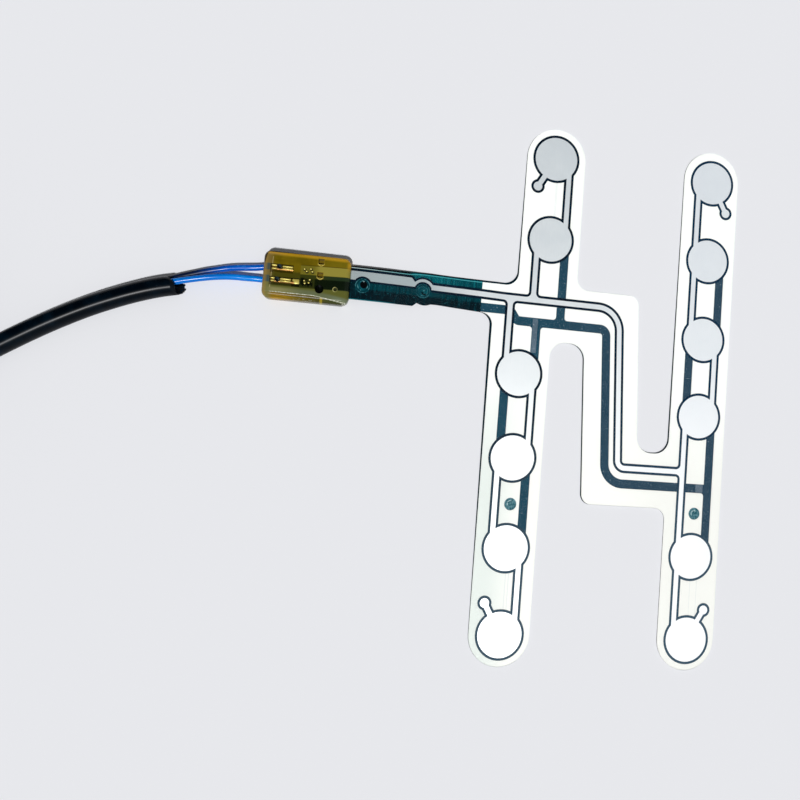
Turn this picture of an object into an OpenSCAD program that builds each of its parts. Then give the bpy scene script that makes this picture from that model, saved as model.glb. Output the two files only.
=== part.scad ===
// Seat pressure sensor: a printed film mat with twelve round cells, a moulded
// block where its tail meets two wires, and a sleeved lead with a two-way plug.
// The outline and the prints are drawn in the plan of the mat, with the top left
// cell at [0, 0]. Every module is moved to the part's own frame by in_frame().

/* [Cells] */
// Radius of each silver cell
cell_r = 7.55; // [6.5:0.05:8.2]
// Width of the dark border that shows round the silver print
border_w = 0.85; // [0.3:0.05:1]
// Width of the dark border along the tail's silver run
tail_border_w = 0.65; // [0.3:0.05:0.8]
// Distance between neighbouring cells in a column
cell_pitch = 28.5; // [27.5:0.1:29.5]
// Distance between the cells above and below the tail in the left columns
left_step_y = 47.1; // [46:0.1:49]
// Distance between the cells above and below the bridge in the right column
right_step_y = 49.1; // [48:0.1:51]
// Distance between the cells on either side of a vent hole
vent_pitch = 30.1; // [29:0.1:31]
// How far the lower left column stands left of the upper one
left_step_x = 7.9; // [7:0.1:9.5]
// Distance from the upper left column to the right one
column_gap = 59.1; // [57.5:0.1:60]
// Radius of the small test disc beside an end cell
test_r = 1.55; // [1.2:0.05:1.8]
// Distance of the test disc from the middle of its cell
test_reach = 11.9; // [11.6:0.1:12.4]
// Radius of each vent hole in the white layer
vent_r = 2.1; // [1.5:0.1:2.6]

/* [Tracks] */
// Width of the silver tracks
track_w = 1.7; // [1.4:0.1:2.4]
// Width of the dark tracks on the lower film
dark_w = 3.1; // [2.4:0.1:3.4]
// Width of the silver run along the tail
tail_track_w = 2.9; // [2.2:0.1:3.2]
// Sideways distance of a track from the middle of its cell
track_side = 5; // [4.4:0.1:5.6]
// Radius of the fillet where silver tracks join
junction_r = 1.7; // [1.2:0.1:2.2]
// Radius of the two ringed discs on the tail
disc_r = 2.4; // [2:0.1:2.6]
// Distance of the first ringed disc from the upper left column
disc_1_gap = 62.9; // [62.5:0.1:63.2]
// Distance of the second ringed disc from the upper left column
disc_2_gap = 42.9; // [42:0.1:44]
// Distance of the long silver run from the upper left column
silver_run_gap = 26.8; // [26.4:0.1:27.2]
// Distance of the long dark run from the upper left column
dark_run_gap = 22.4; // [22:0.1:22.6]
// Radius of the hole in the clear film, in the ringed disc beside the block
disc_hole_r = 1.1; // [0.8:0.1:1.4]

/* [Film mat] */
// Width of each arm
arm_w = 21; // [20:0.2:22]
// How far an arm reaches past its end cell
arm_reach = 10.4; // [9.8:0.1:11]
// Width of the tail
tail_w = 10.4; // [10:0.1:11]
// Distance from the upper left column to the moulded block
tail_l = 67; // [66.5:0.1:68]
// Width of the bridge between the arms, below the upper gap
bridge_w = 19.7; // [19:0.1:20.5]
// Thickness of the lower film
film_t = 0.18; // [0.12:0.01:0.25]
// Thickness of the white spacer
spacer_t = 0.15; // [0.1:0.01:0.2]
// Thickness of the clear upper film
cover_t = 0.13; // [0.1:0.01:0.2]
// Thickness of each print
print_t = 0.03; // [0.02:0.005:0.05]
// How far the lower film stands out past the white layer at its widest
lip_w = 0.8; // [0.4:0.1:1]

/* [Moulded block] */
// Length of the block along the tail
block_l = 27.2; // [27:0.1:29]
// Width of the block across the tail
block_w = 15.2; // [14.4:0.2:16]
// Height of the block
block_h = 5.5; // [5:0.1:6.5]
// Radius of the block's upper edges
block_edge_r = 1.7; // [1:0.1:2]
// Radius of the block's upright corners
block_corner_r = 2.4; // [1.5:0.1:3]
// Height of the film's underside inside the block
film_level = 2; // [1.9:0.1:2.4]
// Gap between the rear crimps and the end of the film
film_gap = 1.2; // [0.8:0.1:1.6]
// Width of the square pockets in the block's top
pocket_w = 1.7; // [1.2:0.1:2.2]
// Radius of the round pocket in the block's top
round_pocket_r = 1.25; // [0.9:0.05:1.5]

/* [Terminals] */
// Thickness of the terminal strip
strip_t = 0.3; // [0.2:0.02:0.35]
// Width of the terminal strip
strip_w = 1.6; // [1.4:0.1:2]
// Outside width of the wire crimp
crimp_w = 1.9; // [1.7:0.05:2.2]
// Width of each tine that bites through the film
tine_w = 0.5; // [0.4:0.05:0.55]

/* [Wires and sleeve] */
// Outside diameter of each blue wire
wire_d = 2; // [1.8:0.05:2.1]
// Diameter of the bare conductor
conductor_d = 1; // [0.8:0.05:1.2]
// Distance between the two wires where they leave the block
wire_gap = 3.9; // [3.6:0.1:4.2]
// Outside diameter of the black sleeve
sleeve_d = 6.2; // [5.8:0.1:6.4]
// Radius of the lead's coil, to the middle of its turns
coil_r = 33; // [31:0.5:35]

/* [Plug] */
// Length of the plug's body
plug_l = 15; // [13:0.5:18]
// Width of the plug's body
plug_w = 10; // [9:0.2:12]
// Height of the plug's body
plug_h = 8; // [7.6:0.1:9]
// Distance between the plug's two contacts
plug_pitch = 4; // [3.6:0.1:4.4]
// Width of the strap that ties the coil
tie_w = 3.6; // [2.5:0.1:5]

/* [Hidden] */
$fn = 48;
arc_step = 8;
eps = 0.01;
lap = 0.2;

// Columns and rows of cells
left_x = 0;
low_x = left_x - left_step_x;
right_x = left_x + column_gap;
arm_shift = 0.3;
low_arm_x = low_x - arm_shift;
right_arm_x = right_x - arm_shift;
a1 = [left_x, 0];
a2 = [left_x, a1.y - cell_pitch];
a3 = [low_x, a2.y - left_step_y];
a4 = [low_x, a3.y - cell_pitch];
a5 = [low_x, a4.y - vent_pitch];
a6 = [low_x, a5.y - cell_pitch];
bridge_lift = 0.9;
right_drop = 0.7;
b1 = [right_x, a1.y - right_drop];
b2 = [right_x, b1.y - cell_pitch];
b3 = [right_x, b2.y - cell_pitch];
b4 = [right_x, b3.y - cell_pitch + bridge_lift];
b5 = [right_x, b4.y - right_step_y];
b6 = [right_x, b5.y - cell_pitch];
cells = [a1, a2, a3, a4, a5, a6, b1, b2, b3, b4, b5, b6];
vent_side = 0.4;
vents = [[low_x + vent_side, (a4.y + a5.y) / 2 - vent_side],
    [right_x + vent_side, b5.y + vent_pitch / 2]];

// Edges of the mat
top_y = arm_reach;
bottom_y = a6.y - arm_reach;
right_bottom_y = b6.y - arm_reach;
tail_drop = 17.3;
bridge_step = 1;
bridge_drop = 16.2;
upper_slot_rise = 18.9;
lower_slot_drop = 7.5;
tail_top = a2.y - tail_drop;
tail_bottom = tail_top - tail_w;
tail_mid = (tail_top + tail_bottom) / 2;
bridge_top = tail_top + bridge_step;
bridge_bottom = b5.y + bridge_drop;
upper_slot_end = bridge_bottom + upper_slot_rise;
lower_slot_end = tail_bottom - lower_slot_drop;
lean = 0.054;
bridge_inset = 13.9;
bridge_x = left_x + bridge_inset;
white_gap = 22.8;
white_end = left_x - white_gap;

// Lines that the tracks follow
trunk_drop = 4.2;
dark_drop = 1.4;
dark_tail_rise = 1.9;
trunk_y = tail_top - trunk_drop;
dark_y = tail_bottom - dark_drop;
dark_tail_y = tail_bottom + dark_tail_rise;
silver_run_x = left_x + silver_run_gap;
dark_run_x = left_x + dark_run_gap;
low_trunk_rise = 13.1;
low_dark_rise = 7.65;
low_trunk_y = bridge_bottom + low_trunk_rise;
low_dark_y = bridge_bottom + low_dark_rise;
disc_1_drop = 1.7;
disc_2_drop = 1.1;
disc_1 = [left_x - disc_1_gap, trunk_y - disc_1_drop];
disc_2 = [left_x - disc_2_gap, trunk_y - disc_2_drop];

// Places along the tail's edges and prints, measured from the second disc or as far as a cut reaches
swell_gap = 8;
dip_gap = 18;
dip_mid_gap = 4.9;
merge_gap = 14;
trunk_lift = 0.45;
merge_r = 30;
cut_reach = 8;

// Details of the two prints
neck_w = 1.7;
arc_w = 0.9;
hidden_w = 1.4;
hidden_side = 0.8;
carbon_margin = 0.4;
core_margin = 0.6;
patch_w = 1.8;
patch_l = 2.7;
dark_join_r = 1;

// Block and what it holds
block_right = left_x - tail_l;
block_left = block_right - block_l;
block_drop = 0.4;
lead_side = 0.4;
block_y = tail_mid - block_drop;
conductor_lift = 0.1;
wire_z = film_level + conductor_lift + conductor_d / 2;
lane_rise = 0.15;
upper_lane = block_y + wire_gap / 2 + lane_rise;
lower_lane = upper_lane - wire_gap;
wire_grip = 2.1;
strip_gap = 0.3;
wire_end = block_left + wire_grip;
crimp_x = wire_end + strip_gap;
crimp_l = 2;
crimp_step = 3.6;
second_crimp_x = crimp_x + crimp_step;
second_crimp_l = 3;
strand_l = 0.6;
film_end = second_crimp_x + second_crimp_l + film_gap;
wing_t = 0.25;
crimp_h = strip_t + conductor_lift + conductor_d + wing_t;
pad_w = 2.2;
pad_l = 5.2;
strip_end = film_end + pad_l;
tine_x = [film_end + 2.6, film_end + 4.3];
tine_side = 0.6;
tine_y = [-tine_side, tine_side];
clinch_t = 0.25;
clinch_l = 0.45;
stack_t = film_t + print_t + cover_t;
pin_hole_x = (crimp_x + crimp_l + second_crimp_x) / 2;
pin_hole_r = 0.7;
pocket_gap = 2.3;
pocket_x = strip_end + pocket_gap;
pocket_rise = 3.2;
pocket_side = 1.25;
hole_side = 1.6;
dot_gap = 5;
dot_x = pocket_x + dot_gap;
dot_side = 1.3;
dot_depth = 1;

// The tail climbs to the film's level inside the block along this stretch
rise_start_gap = 30;
rise_end_gap = 3;
rise_start = left_x - rise_start_gap;
rise_end = block_right + rise_end_gap;
rise_steps = 16;
ramp_gap = 0.6;
ramp_l = 3.4;
ramp_start = white_end - ramp_gap;
ramp_end = ramp_start - ramp_l;
far_right = right_arm_x + arm_w;
bend_x = concat([far_right, ramp_start, ramp_end],
    [for (i = [0:rise_steps]) rise_start + (rise_end - rise_start) * i / rise_steps],
    [film_end - 3]);

// Middle of the part without its lead, in the plan
plan_mid = [(block_left + right_arm_x + arm_w / 2) / 2, (top_y + right_bottom_y) / 2];

// Route of the lead, in the plan, measured from where the block's end meets a wire's lane
// or the line of the sleeve. Heights are measured from the wire in the block and from the
// middle of a sleeve that lies flat. The last route goes down from 0 at the coil's upper turn
// to 1 at the middle of the plug.
upper_wire_route = [[2.1, 0, 0], [-0.3, 0, 0], [-2.3, -0.35, 0], [-4.3, -0.6, 0],
    [-6.3, -0.82, -0.05], [-8.3, -1.06, -0.1], [-10.8, -1.45, -0.2], [-13.3, -2.05, -0.25],
    [-15.8, -2.7, -0.3], [-18.3, -3.4, -0.3], [-20.8, -4.25, -0.3], [-23.3, -5.1, -0.3],
    [-25.8, -6.05, -0.2], [-28.3, -7.05, -0.2], [-30.8, -8.1, -0.2], [-33.3, -9.2, -0.2]];
lower_wire_route = [[2.1, 0, 0], [-0.3, 0, 0], [-2.3, 0, 0.05], [-4.3, -0.08, 0.2],
    [-6.3, -0.15, 0.4], [-8.3, -0.2, 0.6], [-10.8, -0.42, 0.9], [-13.3, -0.78, 1.2],
    [-15.8, -1.25, 1.4], [-18.3, -1.8, 1.5], [-20.8, -2.4, 1.55], [-23.3, -3.05, 1.6],
    [-25.8, -3.75, 1.6], [-28.3, -4.5, 1.6], [-30.8, -5.35, 1.6], [-33.3, -6.4, 1.6]];
sleeve_route = [[-26.4, -6.2, 0], [-31.8, -7.6, 0], [-37.8, -9.7, 0], [-43.8, -12.2, 0],
    [-49.8, -15, 0], [-55.8, -18.2, 0], [-61.8, -21.7, 0], [-67.8, -25.5, 0], [-73.8, -29.5, 0],
    [-79.8, -33.6, 0], [-85.8, -37.7, 0], [-91.8, -41.7, 0], [-97.8, -45.5, 0], [-102.8, -48.4, 0]];
coil_reach = 88.8;
coil_drop = 21.2;
coil_mid = [-coil_reach - coil_r, -coil_drop];
end_route = [[-88.8, -19.2, 0], [-88.8, -26.2, 0], [-88.8, -33.2, 0], [-89.3, -40.2, 0],
    [-90.3, -47.2, 0.019], [-91.3, -54.2, 0.189], [-92.8, -61.2, 0.472], [-94.3, -68.2, 0.755],
    [-95.8, -75.2, 0.943], [-97.3, -82.2, 1], [-98.8, -88.9, 1]];
plug_at = [-98.2, -86.2, 0];
plug_turn = -102;

// Tie and plug
tie_turn = 150;
tie_t = 0.9;
tie_head = [3, tie_w + 1.2, 4.4];
contact_z = plug_h / 2;
cavity_w = 2.4;
contact_wall = 0.3;
contact_l = plug_l - 4.5;
boot_l = 3;
latch_w = 4.4;
latch_x = 3;
latch_l = plug_l - latch_x - 1;
rib_t = 1.2;
rib_reach = 0.4;
lock_x = 6.8;
lock_w = 2;
lock_h = 1.6;

// The points of a corner with a round of radius r
function corner(a, b, c, r) =
    let (u = (a - b) / norm(a - b), v = (c - b) / norm(c - b), half = acos(u * v) / 2)
    r <= 0 ? [b] :
    let (middle = b + (u + v) / norm(u + v) * r / sin(half), p = b + u * r / tan(half) - middle,
        q = b + v * r / tan(half) - middle, start = atan2(p.y, p.x),
        turn = (atan2(q.y, q.x) - start + 540) % 360 - 180, n = ceil(abs(turn) / arc_step))
    [for (i = [0:n]) middle + r * [cos(start + turn * i / n), sin(start + turn * i / n)]];

function flat(p) = [p.x, p.y];

// The points in counterclockwise order
function ordered(points) =
    let (n = len(points), turns = [for (i = [0:n - 1]) cross(points[i], points[(i + 1) % n])],
        ones = [for (t = turns) 1])
    turns * ones > 0 ? points : [for (i = [n - 1:-1:0]) points[i]];

// A closed outline of points [x, y, round], with its corners rounded
function rounded(points) =
    let (n = len(points))
    ordered([for (i = [0:n - 1]) each corner(flat(points[(i + n - 1) % n]), flat(points[i]),
        flat(points[(i + 1) % n]), points[i].z)]);

function normal(a, b) = let (d = flat(b) - flat(a)) [-d.y, d.x] / norm(d);

// One side of a band along a line of points [x, y, round]
function side(line, half) =
    [for (i = [0:len(line) - 1])
        let (before = i == 0 ? normal(line[0], line[1]) : normal(line[i - 1], line[i]),
            after = i == len(line) - 1 ? before : normal(line[i], line[i + 1]),
            m = (before + after) / norm(before + after), left = cross(before, after) > 0,
            p = flat(line[i]) + m * half / (m * before))
        [p.x, p.y, line[i].z == 0 ? 0 : max(0, line[i].z + (left ? -half : half))]];

function band(line, w) =
    let (left = side(line, w / 2), right = side(line, -w / 2), n = len(line))
    rounded(concat(left, [for (i = [n - 1:-1:0]) right[i]]));

// How far the tail has risen at x, and how high the upper layers lie there
function smooth(t) = let (c = min(1, max(0, t))) c * c * (3 - 2 * c);
function rise(x) = film_level * smooth((rise_start - x) / (rise_start - rise_end));
function upper_z(x) = rise(x) + film_t + spacer_t * smooth((x - ramp_end) / (ramp_start - ramp_end));

function mat_points(lip) = [
    [film_end, tail_top, 0],
    [disc_1.x + 4, tail_top + 0.4 * lip, 0],
    [disc_2.x - swell_gap, tail_top + 0.6 * lip, 0],
    [disc_2.x + 2, tail_top + lip, 0],
    [left_x - arm_w / 2 + 0.1 - 0.6 * lip, tail_top + 0.8 * lip, 4.5],
    [left_x - arm_w / 2 + 0.1, top_y, arm_w / 2 - eps],
    [left_x + arm_w / 2 + 0.1, top_y, arm_w / 2 - eps],
    [left_x + arm_w / 2 + 0.1, bridge_top, 4.2],
    [bridge_x + bridge_w, bridge_top, 3.5],
    [bridge_x + bridge_w + lean * (bridge_top - upper_slot_end), upper_slot_end, 5.4],
    [right_arm_x - arm_w / 2 - 0.5 * lip, upper_slot_end + 0.5 * lip, 5.2],
    [right_arm_x - arm_w / 2, top_y, arm_w / 2 - eps],
    [right_arm_x + arm_w / 2, top_y, arm_w / 2 - eps],
    [right_arm_x + arm_w / 2, right_bottom_y, arm_w / 2 - eps],
    [right_arm_x - arm_w / 2, right_bottom_y, arm_w / 2 - eps],
    [right_arm_x - arm_w / 2, bridge_bottom, 4],
    [bridge_x + lean * (bridge_top - bridge_bottom) - 0.4 - 0.4 * lip, bridge_bottom, 3.5],
    [bridge_x + 0.8 - 0.4 * lip, lower_slot_end, 5.4],
    [low_arm_x + arm_w / 2 + 0.2, lower_slot_end, 5.4],
    [low_arm_x + arm_w / 2, bottom_y, arm_w / 2 - 0.1],
    [low_arm_x - arm_w / 2 + 0.2, bottom_y, arm_w / 2 - 0.1],
    [low_arm_x - arm_w / 2 + 0.2 - lip, tail_bottom, 4],
    [disc_2.x + dip_gap, tail_bottom + 0.3, 0],
    [disc_2.x + dip_mid_gap, tail_bottom + 1, 0],
    [disc_2.x + 2.9, tail_bottom + 0.95, 0.8],
    [disc_2.x + 0.6, tail_bottom + 0.05, 4.5],
    [disc_2.x - 1.85, tail_bottom + 0.9, 0.25],
    [disc_2.x - 3.2, tail_bottom - 0.25, 0.6],
    [film_end, tail_bottom - 0.3, 0]];

module in_frame() {
    translate([-plan_mid.x, -plan_mid.y, 0])
        children();
}

// A fillet in the corner at p, towards the quadrant of q, between edges moved out by grow
module fillet(p, q, r, grow = 0) {
    c = p + q * grow;
    f = r - grow;
    arc = [for (i = [0:5]) c + [q.x * f * (1 - sin(18 * i)), q.y * f * (1 - cos(18 * i))]];
    polygon(ordered(concat([c - q * lap, c + [q.x * f, -q.y * lap]], arc, [c + [-q.x * lap, q.y * f]])));
}

// A sheet between two heights that follow the bend of the tail, cut to the flat shape given
module bent(low, high, lower_edge = false) {
    under = [for (x = bend_x) [x, (lower_edge ? rise(x) : upper_z(x)) + low]];
    over = [for (x = bend_x) [x, (lower_edge ? rise(x) : upper_z(x)) + high]];
    n = len(bend_x);
    intersection() {
        translate([0, top_y + 2, 0])
            rotate([90, 0, 0])
                linear_extrude(top_y - right_bottom_y + 4)
                    polygon(concat(under, [for (i = [n - 1:-1:0]) over[i]]));
        translate([0, 0, -1])
            linear_extrude(block_h)
                children();
    }
}

module disc_at(p, r) {
    translate(p)
        circle(r);
}

// A cell's test disc and its neck, on the side given by q
module test_disc(cell, q, grow) {
    way = [q.x * 0.5, q.y * 0.866];
    disc_at(cell + way * test_reach, test_r + grow);
    polygon(band([[cell.x, cell.y, 0], [cell.x + way.x * test_reach, cell.y + way.y * test_reach, 0]],
        neck_w + 2 * grow));
}

module silver_link(from, to, x, grow) {
    polygon(band([[x, from.y, 0], [x, to.y, 0]], track_w + 2 * grow));
}

// The silver run along the tail, which steps round the two ringed discs
module tail_run(grow) {
    upper = trunk_y + tail_track_w;
    difference() {
        union() {
            polygon(rounded([[film_end, upper + grow, 0],
                [disc_2.x - 4 + grow / 2, upper + grow, 0.8],
                [disc_2.x - 2.4 + grow, trunk_y + 1 + grow, 0.4],
                [disc_2.x, trunk_y + 1 + grow, 0],
                [disc_2.x, trunk_y - grow, 0],
                [film_end, trunk_y - grow, 0]]));
            disc_at(disc_2, disc_r + tail_border_w + arc_w + grow);
        }
        disc_at(disc_1, disc_r + tail_border_w - grow);
        disc_at(disc_2, disc_r + tail_border_w - grow);
        translate([disc_2.x - cut_reach, trunk_y - cut_reach - grow])
            square([2 * cut_reach, cut_reach]);
    }
}

// The upper print's shape: cells, tracks, test discs and the tail run
module circuit(grow) {
    w = track_w + 2 * grow;
    for (c = cells)
        disc_at(c, cell_r + grow);
    test_disc(a1, [-1, -1], grow);
    test_disc(a6, [-1, 1], grow);
    test_disc(b1, [1, -1], grow);
    test_disc(b6, [1, 1], grow);
    silver_link(a1, a2, left_x + track_side, grow);
    silver_link(a2, [0, trunk_y], left_x - track_side + 0.3, grow);
    silver_link([0, trunk_y], a3, low_x - track_side + 0.25, grow);
    silver_link(a3, a4, low_x + track_side, grow);
    silver_link(a4, a5, low_x - track_side, grow);
    silver_link(a5, a6, low_x + track_side - 0.2, grow);
    silver_link(b1, b3, right_x - track_side, grow);
    silver_link(b3, b4, right_x + track_side - 0.2, grow);
    silver_link(b4, b6, right_x - track_side, grow);
    polygon(band([[disc_2.x + 2.8, trunk_y + trunk_lift, 0],
        [disc_2.x + merge_gap, trunk_y + trunk_lift - 0.1, merge_r], [white_end + 8, trunk_y, merge_r],
        [silver_run_x, trunk_y, 8.2],
        [silver_run_x + lean * (trunk_y - low_trunk_y), low_trunk_y, 2.6],
        [right_x - track_side, low_trunk_y, 0]], w));
    low_edge = trunk_y - track_w / 2;
    high_edge = trunk_y + track_w / 2;
    a2_link = left_x - track_side + 0.3;
    a3_link = low_x - track_side + 0.25;
    for (s = [-1, 1]) {
        fillet([a2_link + s * track_w / 2, high_edge], [s, 1], junction_r, grow);
        fillet([a3_link + s * track_w / 2, low_edge], [s, -1], junction_r, grow);
        fillet([right_x - track_side - track_w / 2, low_trunk_y + s * track_w / 2], [-1, s],
            junction_r, grow);
    }
    tail_run(min(grow, tail_border_w));
}

module dark_link(from, to, x, w) {
    polygon(band([[x, from.y, 0], [x, to.y, 0]], w));
}

// The dark tracks that show through channels in the white layer
module dark_tracks(w) {
    dark_link(a2, [0, dark_y], left_x + track_side + 0.4, w);
    dark_link([0, dark_y], a3, low_x + track_side, w);
    dark_link(a3, a4, low_x - track_side + 0.4, w);
    dark_link(a4, a5, low_x + track_side, w);
    dark_link(b2, b3, right_x + track_side, w);
    dark_link(b3, b4, right_x - track_side, w);
    dark_link(b4, b5, right_x + track_side, w);
    polygon(band([[film_end, dark_tail_y, 0], [low_x - 4.5, dark_tail_y, 1.8],
        [low_x - 2.1, dark_y, 1.8], [dark_run_x, dark_y, 2.4],
        [dark_run_x + lean * (dark_y - low_dark_y), low_dark_y, 6.8],
        [right_x + track_side, low_dark_y, 0]], w));
    for (s = [-1, 1]) {
        fillet([left_x + track_side + 0.4 + s * w / 2, dark_y + w / 2], [s, 1], dark_join_r);
        fillet([low_x + track_side + s * w / 2, dark_y - w / 2], [s, -1], dark_join_r);
    }
    fillet([right_x + track_side - w / 2, low_dark_y - w / 2], [-1, -1], dark_join_r);
}

// Narrow links of the lower print that stay hidden under the white layer
module hidden_links() {
    dark_link(a1, a2, left_x + hidden_side, hidden_w);
    dark_link(a5, a6, low_x + hidden_side, hidden_w);
    dark_link(b1, b2, right_x + hidden_side, hidden_w);
    dark_link(b5, b6, right_x + hidden_side, hidden_w);
}

module lower_print_shape() {
    difference() {
        intersection() {
            union() {
                dark_tracks(dark_w);
                hidden_links();
                for (c = cells)
                    disc_at(c, cell_r - carbon_margin);
            }
            polygon(rounded(mat_points(0)));
        }
        disc_at(disc_1, disc_r);
        disc_at(disc_2, disc_r);
        for (v = vents)
            disc_at(v, vent_r + 0.5);
    }
}

// Silver of the lower print: the cores of its tracks and the bare patches
module lower_silver_shape() {
    difference() {
        union() {
            dark_tracks(dark_w - 2 * core_margin);
            for (c = cells)
                disc_at(c, cell_r - carbon_margin - core_margin);
        }
        disc_at(disc_1, disc_r + core_margin);
        disc_at(disc_2, disc_r + core_margin);
    }
    bare_patches();
}

// Patches of the lower print where its silver is left bare
module bare_patches() {
    translate([low_x + track_side - dark_w / 2 + 0.2, a3.y + cell_r])
        square([patch_w, dark_y - a3.y - cell_r + dark_w / 2 - 0.3]);
    translate([right_x + track_side - dark_w / 2 - patch_l - 0.3, low_dark_y - dark_w / 2 + 0.1])
        square([patch_l, dark_w - 0.2]);
}

// Slots where the tines of both terminals pass through the film
module tine_slots() {
    for (lane = [upper_lane, lower_lane], x = tine_x, y = tine_y)
        translate([x, lane + y])
            square([strip_t, tine_w], center = true);
}

module spacer_shape() {
    difference() {
        polygon(rounded(mat_points(0)));
        translate([film_end - cut_reach, tail_bottom - cut_reach])
            square([white_end - film_end + cut_reach, tail_w + 2 * cut_reach]);
        for (c = cells)
            disc_at(c, cell_r + 0.2);
        for (v = vents)
            disc_at(v, vent_r);
        dark_tracks(dark_w);
    }
}

module lower_film() {
    color("#06474f")
        in_frame()
            bent(0, film_t, true)
                difference() {
                    polygon(rounded(mat_points(lip_w)));
                    tine_slots();
                }
}

module lower_silver() {
    color("#5a6c7a")
        in_frame()
            bent(film_t, film_t + print_t / 2, true)
                difference() {
                    lower_silver_shape();
                    tine_slots();
                }
}

module lower_carbon() {
    color("#2a4152")
        in_frame()
            difference() {
                bent(film_t, film_t + print_t, true)
                    difference() {
                        lower_print_shape();
                        bare_patches();
                        tine_slots();
                    }
                bent(film_t - eps, film_t + print_t / 2, true)
                    lower_silver_shape();
            }
}

module spacer() {
    color("#fbfcf8")
        in_frame()
            difference() {
                translate([0, 0, film_t])
                    linear_extrude(spacer_t)
                        spacer_shape();
                translate([0, 0, film_t - eps])
                    linear_extrude(print_t + eps)
                        hidden_links();
            }
}

module upper_carbon() {
    color("#102a3c")
        in_frame()
            difference() {
                bent(0, print_t)
                    difference() {
                        circuit(border_w);
                        tine_slots();
                    }
                bent(print_t / 2, print_t + eps)
                    circuit(0);
            }
}

module upper_silver() {
    color("#d4dadd")
        in_frame()
            bent(print_t / 2, print_t)
                difference() {
                    circuit(0);
                    tine_slots();
                }
}

module upper_film() {
    color("#e6f0f2", 0.35)
        in_frame()
            difference() {
                bent(0, print_t + cover_t)
                    difference() {
                        polygon(rounded(mat_points(0)));
                        disc_at(disc_1, disc_hole_r);
                        tine_slots();
                    }
                bent(-eps, print_t)
                    circuit(border_w);
                bent(-eps, print_t)
                    intersection() {
                        dark_tracks(dark_w);
                        translate([film_end - cut_reach, tail_bottom - cut_reach])
                            square([ramp_start - film_end + cut_reach, tail_w + 2 * cut_reach]);
                    }
            }
}

// A rectangle with its two upper corners rounded more than its lower ones
module block_side(length) {
    polygon(rounded([[-length / 2, 0, 0.4], [-length / 2, block_h, block_edge_r],
        [length / 2, block_h, block_edge_r], [length / 2, 0, 0.4]]));
}

module block_body() {
    translate([block_left + block_l / 2, block_y, 0])
        intersection() {
            translate([0, block_w / 2 + 1, 0])
                rotate([90, 0, 0])
                    linear_extrude(block_w + 2)
                        block_side(block_l);
            translate([-block_l / 2 - 1, 0, 0])
                rotate([90, 0, 90])
                    linear_extrude(block_l + 2)
                        block_side(block_w);
            linear_extrude(block_h)
                polygon(rounded([[-block_l / 2, -block_w / 2, block_corner_r],
                    [-block_l / 2, block_w / 2, block_corner_r],
                    [block_l / 2, block_w / 2, block_corner_r],
                    [block_l / 2, -block_w / 2, block_corner_r]]));
        }
}

// Pockets that the mould's pins leave over the film and over each terminal
module mould_pockets() {
    top = film_level + stack_t;
    for (y = [upper_lane + pocket_rise, upper_lane - pocket_side])
        translate([pocket_x - pocket_w / 2, y - pocket_w / 2, top])
            cube([pocket_w, pocket_w, block_h]);
    translate([pocket_x, lower_lane - hole_side, top])
        cylinder(r = round_pocket_r, h = block_h);
    translate([dot_x, lower_lane - dot_side, block_h - dot_depth])
        cylinder(r = round_pocket_r / 2, h = block_h);
    for (lane = [upper_lane, lower_lane])
        translate([pin_hole_x, lane, wire_z + conductor_d / 2 + 0.2])
            cylinder(r = pin_hole_r, h = block_h);
}

module film_in_block() {
    bent(0, film_t, true)
        polygon(rounded(mat_points(lip_w)));
    bent(0, print_t + cover_t)
        polygon(rounded(mat_points(0)));
}

module housing() {
    color("#a8891c", 0.6)
        in_frame()
            difference() {
                block_body();
                film_in_block();
                mould_pockets();
                for (lane = [upper_lane, lower_lane]) {
                    terminal(lane);
                    conductor(lane);
                    translate([block_left - 1, lane, wire_z])
                        rotate([0, 90, 0])
                            cylinder(d = wire_d, h = wire_end - block_left + 1);
                }
            }
}

// The section of a closed wire crimp, with its two wings meeting in a groove
module crimp_section() {
    r = crimp_w / 4;
    difference() {
        polygon(rounded([[-crimp_w / 2, 0, r], [-crimp_w / 2, crimp_h, r], [-0.12, crimp_h, 0.1],
            [0, crimp_h - 0.2, 0], [0.12, crimp_h, 0.1], [crimp_w / 2, crimp_h, r],
            [crimp_w / 2, 0, r]]));
        translate([0, strip_t + conductor_lift + conductor_d / 2])
            circle(d = conductor_d);
    }
}

module crimp(x, length) {
    translate([x, 0, 0])
        rotate([90, 0, 90])
            linear_extrude(length)
                crimp_section();
}

// One stamped terminal: two wire crimps on a strip, and four tines clinched over the film
module terminal(lane) {
    translate([0, lane, film_level - strip_t]) {
        crimp(crimp_x, crimp_l);
        crimp(second_crimp_x, second_crimp_l);
        translate([crimp_x + strip_gap, -strip_w / 2, 0])
            cube([strip_end - crimp_x - strip_gap, strip_w, strip_t]);
        translate([film_end + strip_gap, -pad_w / 2, 0])
            cube([pad_l, pad_w, strip_t]);
        for (x = tine_x, y = tine_y) {
            translate([x - strip_t / 2, y - tine_w / 2, 0])
                cube([strip_t, tine_w, strip_t + stack_t + clinch_t]);
            translate([x - strip_t / 2 - (x == tine_x[0] ? clinch_l : 0), y - tine_w / 2,
                strip_t + stack_t])
                cube([strip_t + clinch_l, tine_w, clinch_t]);
        }
    }
}

module conductor(lane) {
    translate([wire_end, lane, wire_z])
        rotate([0, 90, 0])
            cylinder(d = conductor_d, h = second_crimp_x + second_crimp_l + strand_l - wire_end);
}

module terminal_upper() {
    color("#d8b25a")
        in_frame()
            terminal(upper_lane);
}

module terminal_lower() {
    color("#d8b25a")
        in_frame()
            terminal(lower_lane);
}

module conductor_upper() {
    color("#c98a55")
        in_frame()
            conductor(upper_lane);
}

module conductor_lower() {
    color("#c98a55")
        in_frame()
            conductor(lower_lane);
}

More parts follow.
